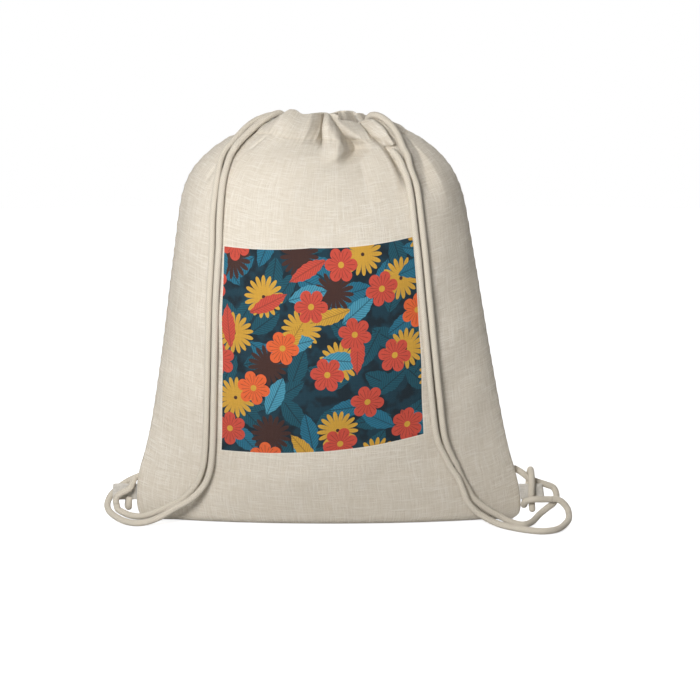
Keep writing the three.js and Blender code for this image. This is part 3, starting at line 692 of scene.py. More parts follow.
def blend_values(tree, share, under, over):
    node = tree.nodes.new("ShaderNodeMix")
    plug(tree, share, node.inputs[0])
    plug(tree, under, node.inputs[2])
    plug(tree, over, node.inputs[3])
    return node.outputs[0]


def split(tree, vector):
    node = tree.nodes.new("ShaderNodeSeparateXYZ")
    plug(tree, vector, node.inputs[0])
    return node.outputs


def join(tree, x=0.0, y=0.0, z=0.0):
    node = tree.nodes.new("ShaderNodeCombineXYZ")
    for value, socket in zip((x, y, z), node.inputs):
        plug(tree, value, socket)
    return node.outputs[0]


def noise(tree, vector, scale, detail=2.0, roughness=0.5):
    node = tree.nodes.new("ShaderNodeTexNoise")
    node.noise_dimensions = "2D"
    plug(tree, vector, node.inputs["Vector"])
    plug(tree, scale, node.inputs["Scale"])
    node.inputs["Detail"].default_value = detail
    node.inputs["Roughness"].default_value = roughness
    return node.outputs["Fac"]


def uv_map(tree, label):
    node = tree.nodes.new("ShaderNodeUVMap")
    node.uv_map = label
    return node.outputs[0]


def new_group(label, inputs, outputs):
    """A shader node group. inputs gives each socket's default, and outputs gives their names and kinds."""
    group = bpy.data.node_groups.new(label, "ShaderNodeTree")
    for name, default in inputs.items():
        kind = "NodeSocketVector" if isinstance(default, tuple) else "NodeSocketFloat"
        group.interface.new_socket(name, in_out="INPUT", socket_type=kind).default_value = default
    for name, kind in outputs.items():
        group.interface.new_socket(name, in_out="OUTPUT", socket_type="NodeSocket" + kind)
    given = group.nodes.new("NodeGroupInput").outputs
    result = group.nodes.new("NodeGroupOutput").inputs
    return group, given, result


def use(tree, group, **values):
    """Places a group in a tree. Values are given by the sockets' names, with _ for a space."""
    node = tree.nodes.new("ShaderNodeGroup")
    node.node_tree = group
    for name, value in values.items():
        plug(tree, value, node.inputs[name.replace("_", " ")])
    return node.outputs


CLOTH_SPECULAR = 0.25
SHEEN_ROUGH = 0.5


def new_material(label, roughness, sheen=0.0):
    """A material and its Principled shader, whose own sockets get the numbers that are the same all over."""
    material = bpy.data.materials.new(label)
    material.use_nodes = True
    shader = material.node_tree.nodes["Principled BSDF"]
    shader.inputs["Roughness"].default_value = roughness
    shader.inputs["Specular IOR Level"].default_value = CLOTH_SPECULAR
    shader.inputs["Sheen Weight"].default_value = sheen
    shader.inputs["Sheen Roughness"].default_value = SHEEN_ROUGH
    return material, material.node_tree, shader


def bump(tree, shader, height, distance, strength=1.0):
    node = tree.nodes.new("ShaderNodeBump")
    node.inputs["Strength"].default_value = strength
    node.inputs["Distance"].default_value = distance
    plug(tree, height, node.inputs["Height"])
    tree.links.new(node.outputs["Normal"], shader.inputs["Normal"])


def srgb(red, green, blue):
    """A colour as it is read off a screen, from 0 to 255, turned into the linear one that a shader takes."""
    given = np.array([red, green, blue]) / 255
    linear = np.where(given <= 0.04045, given / 12.92, ((given + 0.055) / 1.055) ** 2.4)
    return (*linear.tolist(), 1.0)


# %% [markdown]
# ## The weave
#
# Linen-look cloth is a plain weave: each thread goes over one and under the next. What makes it look
# like linen is uneven yarn, with thick places called slubs that show as short streaks both ways. A
# picture of cloth could be laid over the bag, but it would be soft close up and repeat. Here the group
# counts warp and weft threads, finds which is on top at each crossing, and gives each thread a tone of
# its own that drifts along its length.

# %% Node group for the weave
WANDER_SCALE = 45.0
WANDER = 3.2  # how many threads wide a row of threads strays
TONES_APART = 3.7  # keeps neighbouring threads' tones unlike
WARP_OFFSET = 0.37
WEFT_OFFSET = 51.91  # keeps the weft's tones unlike the warp's


def make_weave():
    group, given, result = new_group(
        "Slub weave",
        {"Vector": (0.0, 0.0, 0.0), "Threads per Metre": 1300.0, "Slub Length": 0.02},
        {"Height": "Float", "Tone": "Float", "Slub": "Float"},
    )
    wander = noise(group, given["Vector"], WANDER_SCALE, detail=2.0)
    x, y, _ = split(group, given["Vector"])
    drift = times(group, minus(group, wander, 0.5), WANDER)
    warp = times_plus(group, x, given["Threads per Metre"], drift)
    weft = times_plus(group, y, given["Threads per Metre"], drift)
    warp_number, weft_number = calc(group, "FLOOR", warp), calc(group, "FLOOR", weft)
    along = calc(group, "DIVIDE", 1.0, given["Slub Length"])

    def thread_tone(number, length, offset):
        across = times_plus(group, number, TONES_APART, offset)
        place = join(group, across, times(group, length, along))
        return noise(group, place, 1.0, detail=1.5, roughness=0.6)

    warp_tone = thread_tone(warp_number, y, WARP_OFFSET)
    weft_tone = thread_tone(weft_number, x, WEFT_OFFSET)
    warp_on_top = is_even(group, plus(group, warp_number, weft_number))

    def round_thread(value):
        aside = calc(group, "ABSOLUTE", from_middle(group, value))
        return minus(group, 1.0, calc(group, "POWER", aside, 2.4))

    warp_round, weft_round = round_thread(warp), round_thread(weft)

    def over_under(top, low, thickness):
        crown = times(group, top, times_plus(group, low, 0.5, 0.5))
        return times(group, crown, times_plus(group, thickness, 0.9, 0.35))

    warp_high = over_under(warp_round, weft_round, warp_tone)
    weft_high = over_under(weft_round, warp_round, weft_tone)

    plug(group, blend_values(group, warp_on_top, weft_high, warp_high), result["Height"])
    tone = blend_values(group, warp_on_top, weft_tone, warp_tone)
    plug(group, between(group, tone, 0.3, 0.7, smoothly=False), result["Tone"])
    thick = calc(group, "MAXIMUM", warp_tone, weft_tone)
    plug(group, between(group, thick, 0.58, 0.78), result["Slub"])
    return group


slub_weave = make_weave()
print("weave group:", len(slub_weave.nodes), "nodes")

# %% [markdown]
# ## The linen-look cloth
#
# The cloth is unbleached, so it is a warm off-white with slightly darker and lighter threads, and it is
# matt with a faint fuzz. Broad, soft differences of tone come from how a bolt of natural cloth takes
# its wash. The colours follow the thread tones of the weave group, and its heights go to a Bump node.

# %% Material of the cloth
CLOTH_LIGHT = srgb(234, 226, 212)
CLOTH_DARK = srgb(208, 197, 179)
CLOTH_SLUB = srgb(240, 234, 223)
CLOTH_ROUGH = 0.92
WEAVE_DEPTH = 0.35 * MM
WASH_SCALE = 14.0  # of the broad differences of tone
WASH_STRENGTH = 0.16


def start_linen(label):
    """A cloth material with its weave and its colour, which aren't joined to the shader yet."""
    material, tree, shader = new_material(label, CLOTH_ROUGH, sheen=0.08)
    cloth = uv_map(tree, "Cloth")
    weave = use(tree, slub_weave, Vector=cloth)
    wash = between(tree, noise(tree, cloth, WASH_SCALE, detail=3.0), 0.35, 0.75)
    base = blend_colours(tree, weave["Tone"], CLOTH_DARK, CLOTH_LIGHT)
    slubbed = blend_colours(tree, times(tree, weave["Slub"], 0.5), base, CLOTH_SLUB)
    colour = blend_colours(tree, times(tree, wash, WASH_STRENGTH), slubbed, CLOTH_DARK)
    return material, tree, shader, weave, colour


def make_linen():
    material, tree, shader, weave, colour = start_linen("Linen-look cloth")
    plug(tree, colour, shader.inputs["Base Color"])
    bump(tree, shader, weave["Height"], WEAVE_DEPTH)
    return material


linen = make_linen()
print("made", linen.name)

# %% [markdown]
# ## Creases and pulls in the cloth
#
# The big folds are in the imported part's own outline. Between them real cloth has sharper creases, where a
# gather is pressed flat or a cord pulls, and a slight unevenness everywhere. These could be sculpted by
# hand or left to a cloth simulation, but the photograph's own creases are wanted, so each is a short
# curve down the cloth with a depth, and a width on each side. An uneven pair of widths reads as a fold
# that leans over. The seams pucker a little at every few stitches, as sewn cloth does.

# %% Creases of the front and back
FRONT_CREASES = [
    # the lip of the ridge that nearly shuts the pressed fold's slot, and the sharp end of the long crease
    fold(0.005, 0.010, (0.416, 0.001, 0), (0.421, 0.001, -0.0028), (0.436, 0.001, -0.0028),
         (0.450, -0.001, -0.001)),
    fold(0.010, 0.005, (0.360, 0.107, 0), (0.374, 0.110, 0.0025), (0.390, 0.111, 0.0025),
         (0.402, 0.110, 0)),
    # a small pull below the left end of the channel, and one on the shoulder
    fold(0.005, 0.003, (0.398, -0.120, 0), (0.404, -0.117, 0.0014), (0.411, -0.115, 0.0016),
         (0.417, -0.109, 0.001), (0.424, -0.105, 0)),
    fold(0.005, 0.004, (0.356, -0.149, 0), (0.363, -0.148, 0.0014), (0.372, -0.148, 0.0016),
         (0.379, -0.146, 0.0012), (0.386, -0.144, 0)),
    # the valley on the right shoulder, and the soft ridge beside it
    fold(0.016, 0.024, (0.345, 0.128, 0), (0.365, 0.135, 0.003), (0.390, 0.149, 0.0045),
         (0.425, 0.166, 0.003)),
    fold(0.016, 0.020, (0.325, 0.150, 0), (0.345, 0.149, -0.002), (0.372, 0.150, -0.004),
         (0.400, 0.157, -0.002), (0.420, 0.163, 0)),
]
BACK_CREASES = [
    fold(0.006, 0.012, (0.360, -0.072, 0), (0.385, -0.068, 0.0015), (0.405, -0.064, 0)),
    fold(0.010, 0.005, (0.372, 0.028, 0), (0.395, 0.026, 0.002), (0.415, 0.022, 0)),
    fold(0.006, 0.010, (0.350, 0.110, 0), (0.380, 0.112, 0.002), (0.400, 0.110, 0)),
]
RELIEF_STARTS = 0.03  # above the bottom seam
RELIEF_RISES = 0.05
UNEVEN = 0.9 * MM
UNEVEN_WAVES = (0.17, 0.13, 0.10, 0.075, 0.060, 0.045)  # their lengths, the largest first
UNEVEN_SUM = 0.20  # the long waves are the high ones, and this brings their sum back to about 1
SEAM_PUCKER = 0.5 * MM
SEAM_PUCKER_LONG = 0.0125
SEAM_PUCKER_AT = 0.004  # from the seam
SEAM_PUCKER_WIDE = 0.006
STITCH_TROUGH = 0.4 * MM
STITCH_TROUGH_WIDE = 0.0011
STITCH_LONG = 3.2 * MM
PULL = 0.45 * MM  # how high the little pulls beside the channel's stitches stand
PULL_LONG = 0.0085
PULL_TALL = 0.006


def unevenness(side, across, high):
    """A slight lie of the cloth, from waves with seeded directions and lengths."""
    chance = np.random.default_rng(20 + side)
    total = np.zeros_like(across)
    for long in UNEVEN_WAVES:
        way, shift = chance.uniform(0, 2 * np.pi, 2)
        total += long * np.sin(2 * np.pi * (across * np.cos(way) + high * np.sin(way)) / long + shift)
    return UNEVEN * total / UNEVEN_SUM


def relief(side, across, high):
    """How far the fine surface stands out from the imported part's outline."""
    inside = smooth((HALF_CLOTH - np.abs(across)) / SEWN_MARGIN)
    on_wall = smooth((high - RELIEF_STARTS) / RELIEF_RISES)
    out = unevenness(side, across, high) * inside * on_wall
    for crease in FRONT_CREASES if side == FRONT else BACK_CREASES:
        out -= fold_depth(crease, across, high) * inside
    from_seam = HALF_CLOTH - np.abs(across)
    near_seam = np.exp(-((from_seam - SEAM_PUCKER_AT) / SEAM_PUCKER_WIDE) ** 2)
    # the sine inside each phase keeps the puckers and pulls from being evenly spaced
    phase = 2 * np.pi * high / SEAM_PUCKER_LONG + 1.3 * np.sin(high * 71) + side
    out += SEAM_PUCKER * np.sin(phase) * near_seam * on_wall
    from_stitch = high - STITCH_LINE
    near_stitch = np.exp(-np.abs(from_stitch) / PULL_TALL)
    phase = 2 * np.pi * across / PULL_LONG + 1.7 * np.sin(across * 93) + side
    out += PULL * np.sin(phase) * near_stitch * inside
    needle = 0.75 + 0.25 * np.cos(2 * np.pi * across / STITCH_LONG)
    out -= STITCH_TROUGH * needle * np.exp(-((from_stitch / STITCH_TROUGH_WIDE) ** 2))
    return out


def fine_point(side, across, high, lift=0.0):
    """A point of the finished cloth, or lift above it."""
    across, high = np.broadcast_arrays(np.asarray(across, float), np.asarray(high, float))
    edge = np.where(np.abs(across) >= HALF_CLOTH, 0.0, 1.0)
    out = (channel_puff(high)[0] + relief(side, across, high)) * edge + lift
    return cloth_point(side, across, high) + cloth_normal(side, across, high) * out[..., None]


print(len(FRONT_CREASES), "creases on the front,", len(BACK_CREASES), "on the back")

# %% [markdown]
# ## The panels
#
# A panel is a closed sheet: its outer face, the rounded rim where the cloth turns over, and its inner
# face. It is built as one long grid that goes up the outside, over the rim and down the inside, which
# is how the cloth of the channel really runs. The `Cloth` map gives each corner its place on the flat
# cloth, so the weave follows every fold. The `Print` map gives the front its place in the print.

# %% Build the panels
RIM_STEPS = 5
PRINT_WIDE = 0.208
PRINT_TALL = 0.205
PRINT_EDGES = columns(  # the print's lower and upper edge, from its left side to its right side
    "across low top",
    (-0.108, 0.1006, 0.3044),
    (-0.012, 0.1103, 0.3150),
    (0.100, 0.1194, 0.3150),
)
EDGE_STEPS = np.array([0, 0.4, 1.4]) * MM  # the grid's first columns, from the side seam inward
GRID_FINE_FROM = 0.340  # the height on the cloth above which the folds need a finer grid
BAKE_OUTER = (0.003, 0.003, 0.860, 0.985)  # left, bottom, right and top of the outer face in the bake map
BAKE_INNER = (0.875, 0.003, 0.997, 0.145)
BAKE_RIM = (0.003, 0.990, 0.860, 0.997)


def even_steps(low, high, step):
    return np.linspace(low, high, int(round((high - low) / step)) + 1)


PANEL_ACROSS = np.concatenate([
    EDGE_STEPS - HALF_CLOTH,
    even_steps(-HALF_CLOTH + SEAM_TURN, HALF_CLOTH - SEAM_TURN, 1.7 * MM),
    HALF_CLOTH - EDGE_STEPS[::-1],
])
PANEL_HIGH = np.concatenate([
    even_steps(0, GRID_FINE_FROM, 2.6 * MM)[:-1],
    even_steps(GRID_FINE_FROM, STITCH_LINE - CHANNEL_RISE, 1.7 * MM)[:-1],
    even_steps(STITCH_LINE - CHANNEL_RISE, STITCH_LINE + CHANNEL_RISE, 0.5 * MM)[:-1],
    even_steps(STITCH_LINE + CHANNEL_RISE, CLOTH_HEIGHT, 1.6 * MM),
])


def print_place(across, high):
    """Where a place on the cloth lies in the print, in metres from the print's lower left corner."""
    low = np.interp(across, PRINT_EDGES["across"], PRINT_EDGES["low"])
    top = np.interp(across, PRINT_EDGES["across"], PRINT_EDGES["top"])
    left, right = PRINT_EDGES["across"][[0, -1]]
    rightward = (across - left) / (right - left) * PRINT_WIDE
    return np.stack([rightward, (high - low) / (top - low) * PRINT_TALL], -1)


def in_box(u, v, box):
    left, bottom, right, top = box
    return np.stack([mix(left, right, u), mix(bottom, top, v)], -1)


def panel(name, side, materials):
    across, high = np.meshgrid(PANEL_ACROSS, PANEL_HIGH)
    edge = np.where(np.abs(across) >= HALF_CLOTH, 0.0, 1.0)
    face = cloth_point(side, across, high)
    normal = cloth_normal(side, across, high)
    swell, layers = channel_puff(high)
    lie = relief(side, across, high) * edge
    outer = face + normal * (swell * edge + lie)[..., None]
    inner = face - normal * (CLOTH_THICK + layers * edge - lie)[..., None]
    for grid in (outer, inner):
        grid[..., 1] = side * np.maximum(SEAM_GAP / 2, side * grid[..., 1])
        grid[..., 2] = np.maximum(grid[..., 2], 0.0)
    middle, half = (outer[-1] + inner[-1]) / 2, (outer[-1] - inner[-1]) / 2
    upward = unit(outer[-1] - outer[-2]) * np.linalg.norm(half, axis=-1, keepdims=True)
    angles = np.pi * np.arange(1, RIM_STEPS) / RIM_STEPS
    rim_rows = np.array([middle + half * np.cos(a) + upward * np.sin(a) for a in angles])
    sheet = np.concatenate([outer, rim_rows, inner[::-1]])
    rows, count = sheet.shape[0], sheet.shape[1]
    number = np.arange(rows * count).reshape(rows, count)
    quads = np.stack([number[:-1, :-1], number[:-1, 1:], number[1:, 1:], number[1:, :-1]], -1)
    outer_rows = len(PANEL_HIGH)
    facing = np.arange(outer_rows)
    back_row = rows - 1 - facing

    def strip(column, flip):
        a, b = number[facing, column], number[back_row, column]
        made = np.stack([a[:-1], a[1:], b[1:], b[:-1]], -1)
        return made[:, ::-1] if flip else made

    def rim_cap(column, flip):
        loop = number[outer_rows - 1:rows - outer_rows + 1, column]
        return (loop[::-1] if flip else loop)[None, :]

    base = np.stack([number[0, :-1], number[-1, :-1], number[-1, 1:], number[0, 1:]], -1)
    last = count - 1
    sides = [strip(0, False), strip(last, True), base, rim_cap(0, False), rim_cap(last, True)]
    groups = [quads.reshape(-1, 4), *sides]
    if side == BACK:
        groups = [group[:, ::-1] for group in groups]
    on_rim = np.full((RIM_STEPS - 1, count), CLOTH_HEIGHT)
    flat_high = np.concatenate([high, on_rim, 2 * CLOTH_HEIGHT - high[::-1]])
    flat_across = np.broadcast_to(PANEL_ACROSS, flat_high.shape)
    cloth_map = np.stack([flat_across, flat_high], -1).reshape(-1, 2)
    u = (flat_across + HALF_CLOTH) / CLOTH_WIDTH
    v = flat_high / CLOTH_HEIGHT
    first_inner = outer_rows + RIM_STEPS - 1
    bake = in_box(u, v, BAKE_OUTER)
    bake[first_inner:] = in_box(u, 2 - v, BAKE_INNER)[first_inner:]
    bake = bake.reshape(-1, 2)
    corners = np.concatenate([group.ravel() for group in groups])
    maps = {"Cloth": cloth_map[corners], "OFBake": bake[corners]}
    rim_quads = slice((outer_rows - 1) * last * 4, first_inner * last * 4)
    rim_row = np.repeat(np.arange(RIM_STEPS), last * 4).reshape(-1, 4)
    rim_v = (rim_row + np.array([0, 0, 1, 1] if side == FRONT else [1, 1, 0, 0])).ravel() / RIM_STEPS
    maps["OFBake"][rim_quads] = in_box(u.reshape(-1)[corners[rim_quads]], rim_v, BAKE_RIM)
    if side == FRONT:
        maps["Print"] = print_place(flat_across, flat_high).reshape(-1, 2)[corners]
    piece = new_mesh(name, sheet.reshape(-1, 3), groups, maps, materials=materials)
    print(f"{name}: {len(piece.data.polygons)} faces")
    return piece


back_cloth = panel("back_cloth", BACK, [linen])
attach(back_cloth, "root")
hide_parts("back_panel")

# %% [markdown]
# ## The print
#
# The front carries a square, brightly coloured print that was pressed on with heat, so it lies on the
# threads as a thin film and bends with every fold. A picture could be projected on, but it would be
# blurred close up. This one is drawn by nodes: the plane is divided into cells, each cell holds one
# motif with its own turn and colour, and several such layers overlap like a scattered garden print.
# The motifs are plain ribbed leaves, round-petalled blossoms and sunbursts.

# %% Node groups for the print's motifs
def make_scatter():
    """Divides the plane into cells. Each has a place measured from its own centre, with its own turn."""
    group, given, result = new_group(
        "Scattered places",
        {"Vector": (0.0, 0.0, 0.0), "Cell": 0.045, "Tilt": 0.4, "Seed": 1.0, "Jitter": 0.12},
        {"Place": "Vector", "Pick": "Float", "Second Pick": "Float"},
    )
    tilted = group.nodes.new("ShaderNodeVectorRotate")
    tilted.rotation_type = "Z_AXIS"
    plug(group, given["Vector"], tilted.inputs["Vector"])
    plug(group, given["Tilt"], tilted.inputs["Angle"])
    x, y, _ = split(group, tilted.outputs[0])
    x = plus(group, calc(group, "DIVIDE", x, given["Cell"]), given["Seed"])
    y = plus(group, calc(group, "DIVIDE", y, given["Cell"]), times(group, given["Seed"], 1.7))
    cell = join(group, calc(group, "FLOOR", x), calc(group, "FLOOR", y), given["Seed"])
    chance = group.nodes.new("ShaderNodeTexWhiteNoise")
    chance.noise_dimensions = "3D"
    plug(group, cell, chance.inputs["Vector"])
    first, second, third = split(group, chance.outputs["Color"])

    def centred(value, pick):
        shift = times(group, minus(group, pick, 0.5), given["Jitter"])
        aside = minus(group, fraction(group, value), 0.5)
        return times(group, minus(group, aside, shift), given["Cell"])

    turned = group.nodes.new("ShaderNodeVectorRotate")
    turned.rotation_type = "Z_AXIS"
    plug(group, join(group, centred(x, first), centred(y, second)), turned.inputs["Vector"])
    plug(group, times(group, third, 2 * math.pi), turned.inputs["Angle"])
    plug(group, turned.outputs[0], result["Place"])
    plug(group, fraction(group, times(group, first, 7.31)), result["Pick"])
    plug(group, fraction(group, times(group, second, 11.7)), result["Second Pick"])
    return group


EDGE_SOFT = 0.25 * MM  # how softly the ink's edges run out
LEAF_WAVES = 900.0  # how fast a leaf's edge waves, in radians per metre
LEAF_WAVE_HIGH = 0.35 * MM


def make_leaf():
    """A ribbed leaf along X: Shape is 1 inside it, and Rib is 1 on its middle line and side ribs."""
    group, given, result = new_group(
        "Ribbed leaf",
        {"Place": (0.0, 0.0, 0.0), "Half Length": 0.021, "Half Width": 0.008, "Ribs per Metre": 330.0},
        {"Shape": "Float", "Rib": "Float"},
    )
    x, y, _ = split(group, given["Place"])
    share = calc(group, "DIVIDE", x, given["Half Length"])
    bow = times(group, minus(group, 1.0, times(group, share, share)), given["Half Width"])
    wavy = times_plus(group, calc(group, "SINE", times(group, x, LEAF_WAVES)), LEAF_WAVE_HIGH, bow)
    aside = calc(group, "ABSOLUTE", y)
    plug(group, between(group, minus(group, wavy, aside), 0.0, EDGE_SOFT), result["Shape"])
    slanted = times(group, times_plus(group, aside, -0.9, x), given["Ribs per Metre"])
    from_rib = calc(group, "ABSOLUTE", minus(group, fraction(group, slanted), 0.5))
    rib = between(group, from_rib, 0.13, 0.07)
    midrib = between(group, aside, 0.7 * MM, 0.4 * MM)
    plug(group, calc(group, "MAXIMUM", rib, midrib), result["Rib"])
    return group


def make_blossom():
    """Petals round a heart: Shape is 1 inside, Heart in the middle and Line on the petals' lines."""
    group, given, result = new_group(
        "Blossom",
        {"Place": (0.0, 0.0, 0.0), "Radius": 0.016, "Petals": 6.0, "Pinch": 0.4, "Heart Radius": 0.0032},
        {"Shape": "Float", "Heart": "Float", "Line": "Float"},
    )
    x, y, _ = split(group, given["Place"])
    out = calc(group, "SQRT", plus(group, times(group, x, x), times(group, y, y)))
    turn = times(group, calc(group, "ARCTAN2", y, x), given["Petals"])
    wave = calc(group, "SQRT", calc(group, "ABSOLUTE", calc(group, "COSINE", times(group, turn, 0.5))))
    notch = times(group, minus(group, 1.0, wave), given["Pinch"])
    edge = times(group, minus(group, 1.0, notch), given["Radius"])
    plug(group, between(group, minus(group, edge, out), 0.0, EDGE_SOFT), result["Shape"])
    plug(group, between(group, minus(group, given["Heart Radius"], out), 0.0, EDGE_SOFT), result["Heart"])
    stroke = calc(group, "ABSOLUTE", calc(group, "SINE", times(group, turn, 1.5)))
    reach = between(group, calc(group, "DIVIDE", out, edge), 0.86, 0.78)
    plug(group, times(group, between(group, stroke, 0.34, 0.18), reach), result["Line"])
    return group


scatter, leaf, blossom = make_scatter(), make_leaf(), make_blossom()
print("motif groups:", scatter.name, "|", leaf.name, "|", blossom.name)

# %% Ink colours, and the layers of the print
INK_GROUND = srgb(18, 54, 68)
INK_NIGHT = srgb(14, 33, 43)
INK_TEAL = srgb(22, 80, 96)
INK_BLUE = srgb(34, 108, 134)
INK_SKY = srgb(70, 146, 170)
INK_CORAL = srgb(198, 74, 58)
INK_ORANGE = srgb(222, 98, 50)
INK_OCHRE = srgb(204, 156, 56)
INK_BROWN = srgb(66, 40, 34)
GROUND_SCALE = 60.0  # of the clouds in the dark ground


def pick_colour(tree, pick, *colours):
    """One of several colours, by a number from 0 to 1."""
    node = tree.nodes.new("ShaderNodeValToRGB")
    node.color_ramp.interpolation = "CONSTANT"
    ramp = node.color_ramp.elements
    while len(ramp) < len(colours):
        ramp.new(0.5)
    for i, colour in enumerate(colours):
        ramp[i].position = i / len(colours)
        ramp[i].color = colour
    plug(tree, pick, node.inputs[0])
    return node.outputs[0]


def scattered(tree, under, place, spread, keep, draw, colours):
    """A layer of one motif. spread holds its cells' size, tilt and seed, and draw gives shape and colour."""
    cell, tilt, seed = spread
    found = use(tree, scatter, Vector=place, Cell=cell, Tilt=tilt, Seed=seed)
    shape, ink = draw(found["Place"], pick_colour(tree, found["Pick"], *colours))
    kept = calc(tree, "LESS_THAN", found["Second Pick"], keep)
    return blend_colours(tree, times(tree, shape, kept), under, ink)


def leaves(tree, under, place, spread, colours, rib, long=0.020, wide=0.0075, keep=1.0, strength=0.7):
    def draw(spot, colour):
        drawn = use(tree, leaf, Place=spot, Half_Length=long, Half_Width=wide)
        return drawn["Shape"], blend_colours(tree, times(tree, drawn["Rib"], strength), colour, rib)

    return scattered(tree, under, place, spread, keep, draw, colours)


def blossoms(tree, under, place, spread, colours, heart, line, keep, strength=0.6, **form):
    def draw(spot, colour):
        drawn = use(tree, blossom, Place=spot, **form)
        lined = blend_colours(tree, times(tree, drawn["Line"], strength), colour, line)
        return drawn["Shape"], blend_colours(tree, drawn["Heart"], lined, heart)

    return scattered(tree, under, place, spread, keep, draw, colours)


def garden(tree, place):
    """The print's colour: a dark ground, then layers of leaves, sunbursts and blossoms, the lowest first."""
    clouds = between(tree, noise(tree, place, GROUND_SCALE), 0.4, 0.6)
    ink = blend_colours(tree, clouds, INK_GROUND, INK_NIGHT)
    ink = leaves(
        tree, ink, place, (0.042, 0.2, 3.0), (INK_TEAL, INK_BLUE, INK_TEAL), INK_NIGHT, wide=0.010,
    )
    ink = leaves(
        tree, ink, place, (0.047, 1.1, 8.0), (INK_BLUE, INK_TEAL), INK_NIGHT, long=0.022, wide=0.009,
    )
    ink = blossoms(
        tree, ink, place, (0.050, 0.75, 5.0), (INK_OCHRE, INK_OCHRE, INK_BROWN), INK_BROWN, INK_NIGHT,
        keep=0.62, strength=0.2, Radius=0.021, Petals=17.0, Pinch=0.62, Heart_Radius=0.002,
    )
    ink = leaves(
        tree, ink, place, (0.052, 1.9, 14.0), (INK_SKY, INK_BLUE), INK_GROUND,
        long=0.021, wide=0.0095, keep=0.5,
    )
    ink = leaves(
        tree, ink, place, (0.049, 2.6, 21.0), (INK_OCHRE, INK_CORAL), INK_BROWN,
        long=0.022, keep=0.5, strength=0.45,
    )
    return blossoms(
        tree, ink, place, (0.051, 2.2, 11.0), (INK_CORAL, INK_ORANGE, INK_CORAL), INK_OCHRE, INK_BROWN,
        keep=0.58, Radius=0.0175, Pinch=0.42,
    )


print("layers of the print are set")

# %% Material of the printed front
FILM_EDGE = 1.2 * MM  # the clear film's pale margin round the ink
INK_ROUGH = 0.62
INK_SHADE = 0.16  # how far the threads show through the ink


def make_printed_linen():
    material, tree, shader, weave, bare = start_linen("Printed linen-look cloth")
    place = uv_map(tree, "Print")
    x, y, _ = split(tree, place)

    def from_edge(value, wide):
        return minus(tree, wide / 2, calc(tree, "ABSOLUTE", minus(tree, value, wide / 2)))

    inside = calc(tree, "MINIMUM", from_edge(x, PRINT_WIDE), from_edge(y, PRINT_TALL))
    inked = between(tree, inside, -0.1 * MM, 0.15 * MM)
    filmed = between(tree, inside, -FILM_EDGE, -0.5 * FILM_EDGE)
    thread_shade = times(tree, minus(tree, 1.0, weave["Tone"]), INK_SHADE)
    ink = blend_colours(tree, thread_shade, garden(tree, place), (0.0, 0.0, 0.0, 1.0))
    film = blend_colours(tree, times(tree, filmed, 0.5), bare, CLOTH_SLUB)
    plug(tree, blend_colours(tree, inked, film, ink), shader.inputs["Base Color"])
    rough = tree.nodes.new("ShaderNodeMapRange")
    plug(tree, inked, rough.inputs["Value"])
    rough.inputs["To Min"].default_value = CLOTH_ROUGH
    rough.inputs["To Max"].default_value = INK_ROUGH
    tree.links.new(rough.outputs[0], shader.inputs["Roughness"])
    softened = times(tree, weave["Height"], times_plus(tree, inked, -0.35, 1.0))
    bump(tree, shader, softened, WEAVE_DEPTH)
    return material


printed_linen = make_printed_linen()
front_cloth = panel("front_cloth", FRONT, [printed_linen])
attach(front_cloth, "root")
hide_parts("front_panel")

# %% [markdown]
# ## What the panels were cut from
#
# A panel is cut larger than it comes out: it has a seam allowance at its sides and bottom, and the
# channel's cloth is turned over at the top.

# %% [markdown]
# ## Stitches of the channel
#
# A row of machine stitches closes the channel a little below the rim. A line drawn on the cloth would
# do from afar, but real stitches catch the light one by one and draw the cloth into a groove. Each is a
# short thick thread whose ends dive into the cloth. All the stitches of a panel are one mesh.

# %% Sew the channel
THREAD_THICK = 0.3 * MM
STITCH_SHOWS = 2.5 * MM
STITCH_AROUND = 7
STITCH_RINGS = 7
STITCH_MARGIN = 0.006  # from the side seams
STITCH_BOW = 1.6  # how high a stitch bows, and how deep its ends dive, in thicknesses of the thread
STITCH_DIVE = 0.75
THREAD_GRAIN = 2400.0
THREAD_DEPTH = 0.1 * MM
THREAD_DARK = srgb(206, 194, 174)
THREAD_LIGHT = srgb(230, 221, 206)


def stitches(name, side, materials):
    """The row of stitches that closes a panel's channel."""
    starts = np.arange(STITCH_MARGIN - HALF_CLOTH, HALF_CLOTH - STITCH_MARGIN - STITCH_LONG, STITCH_LONG)
    share = np.linspace(0, 1, STITCH_RINGS)
    across = starts[:, None] + share * STITCH_SHOWS
    rise = THREAD_THICK * (STITCH_BOW * np.sqrt(np.maximum(0, 1 - (2 * share - 1) ** 2)) - STITCH_DIVE)
    line = fine_point(side, across, STITCH_LINE, lift=np.broadcast_to(rise, across.shape))
    ahead = unit(np.gradient(line, axis=1))
    normal = cloth_normal(side, across, STITCH_LINE)
    sideways = unit(np.cross(ahead, normal))
    upward = np.cross(sideways, ahead)
    turn = 2 * np.pi * np.arange(STITCH_AROUND) / STITCH_AROUND
    ring = sideways[:, :, None] * np.cos(turn)[:, None] + upward[:, :, None] * np.sin(turn)[:, None]
    points = line[:, :, None] + ring * THREAD_THICK
    number = np.arange(points[..., 0].size).reshape(points.shape[:3])
    following = np.roll(number, -1, axis=2)
    quads = np.stack([number[:, :-1], following[:, :-1], following[:, 1:], number[:, 1:]], -1).reshape(-1, 4)
    caps = np.concatenate([number[:, 0, ::-1], number[:, -1]])
    piece = new_mesh(name, points.reshape(-1, 3), [quads, caps], materials=materials)
    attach(piece, "root")
    print(f"{name}: {len(starts)} stitches")


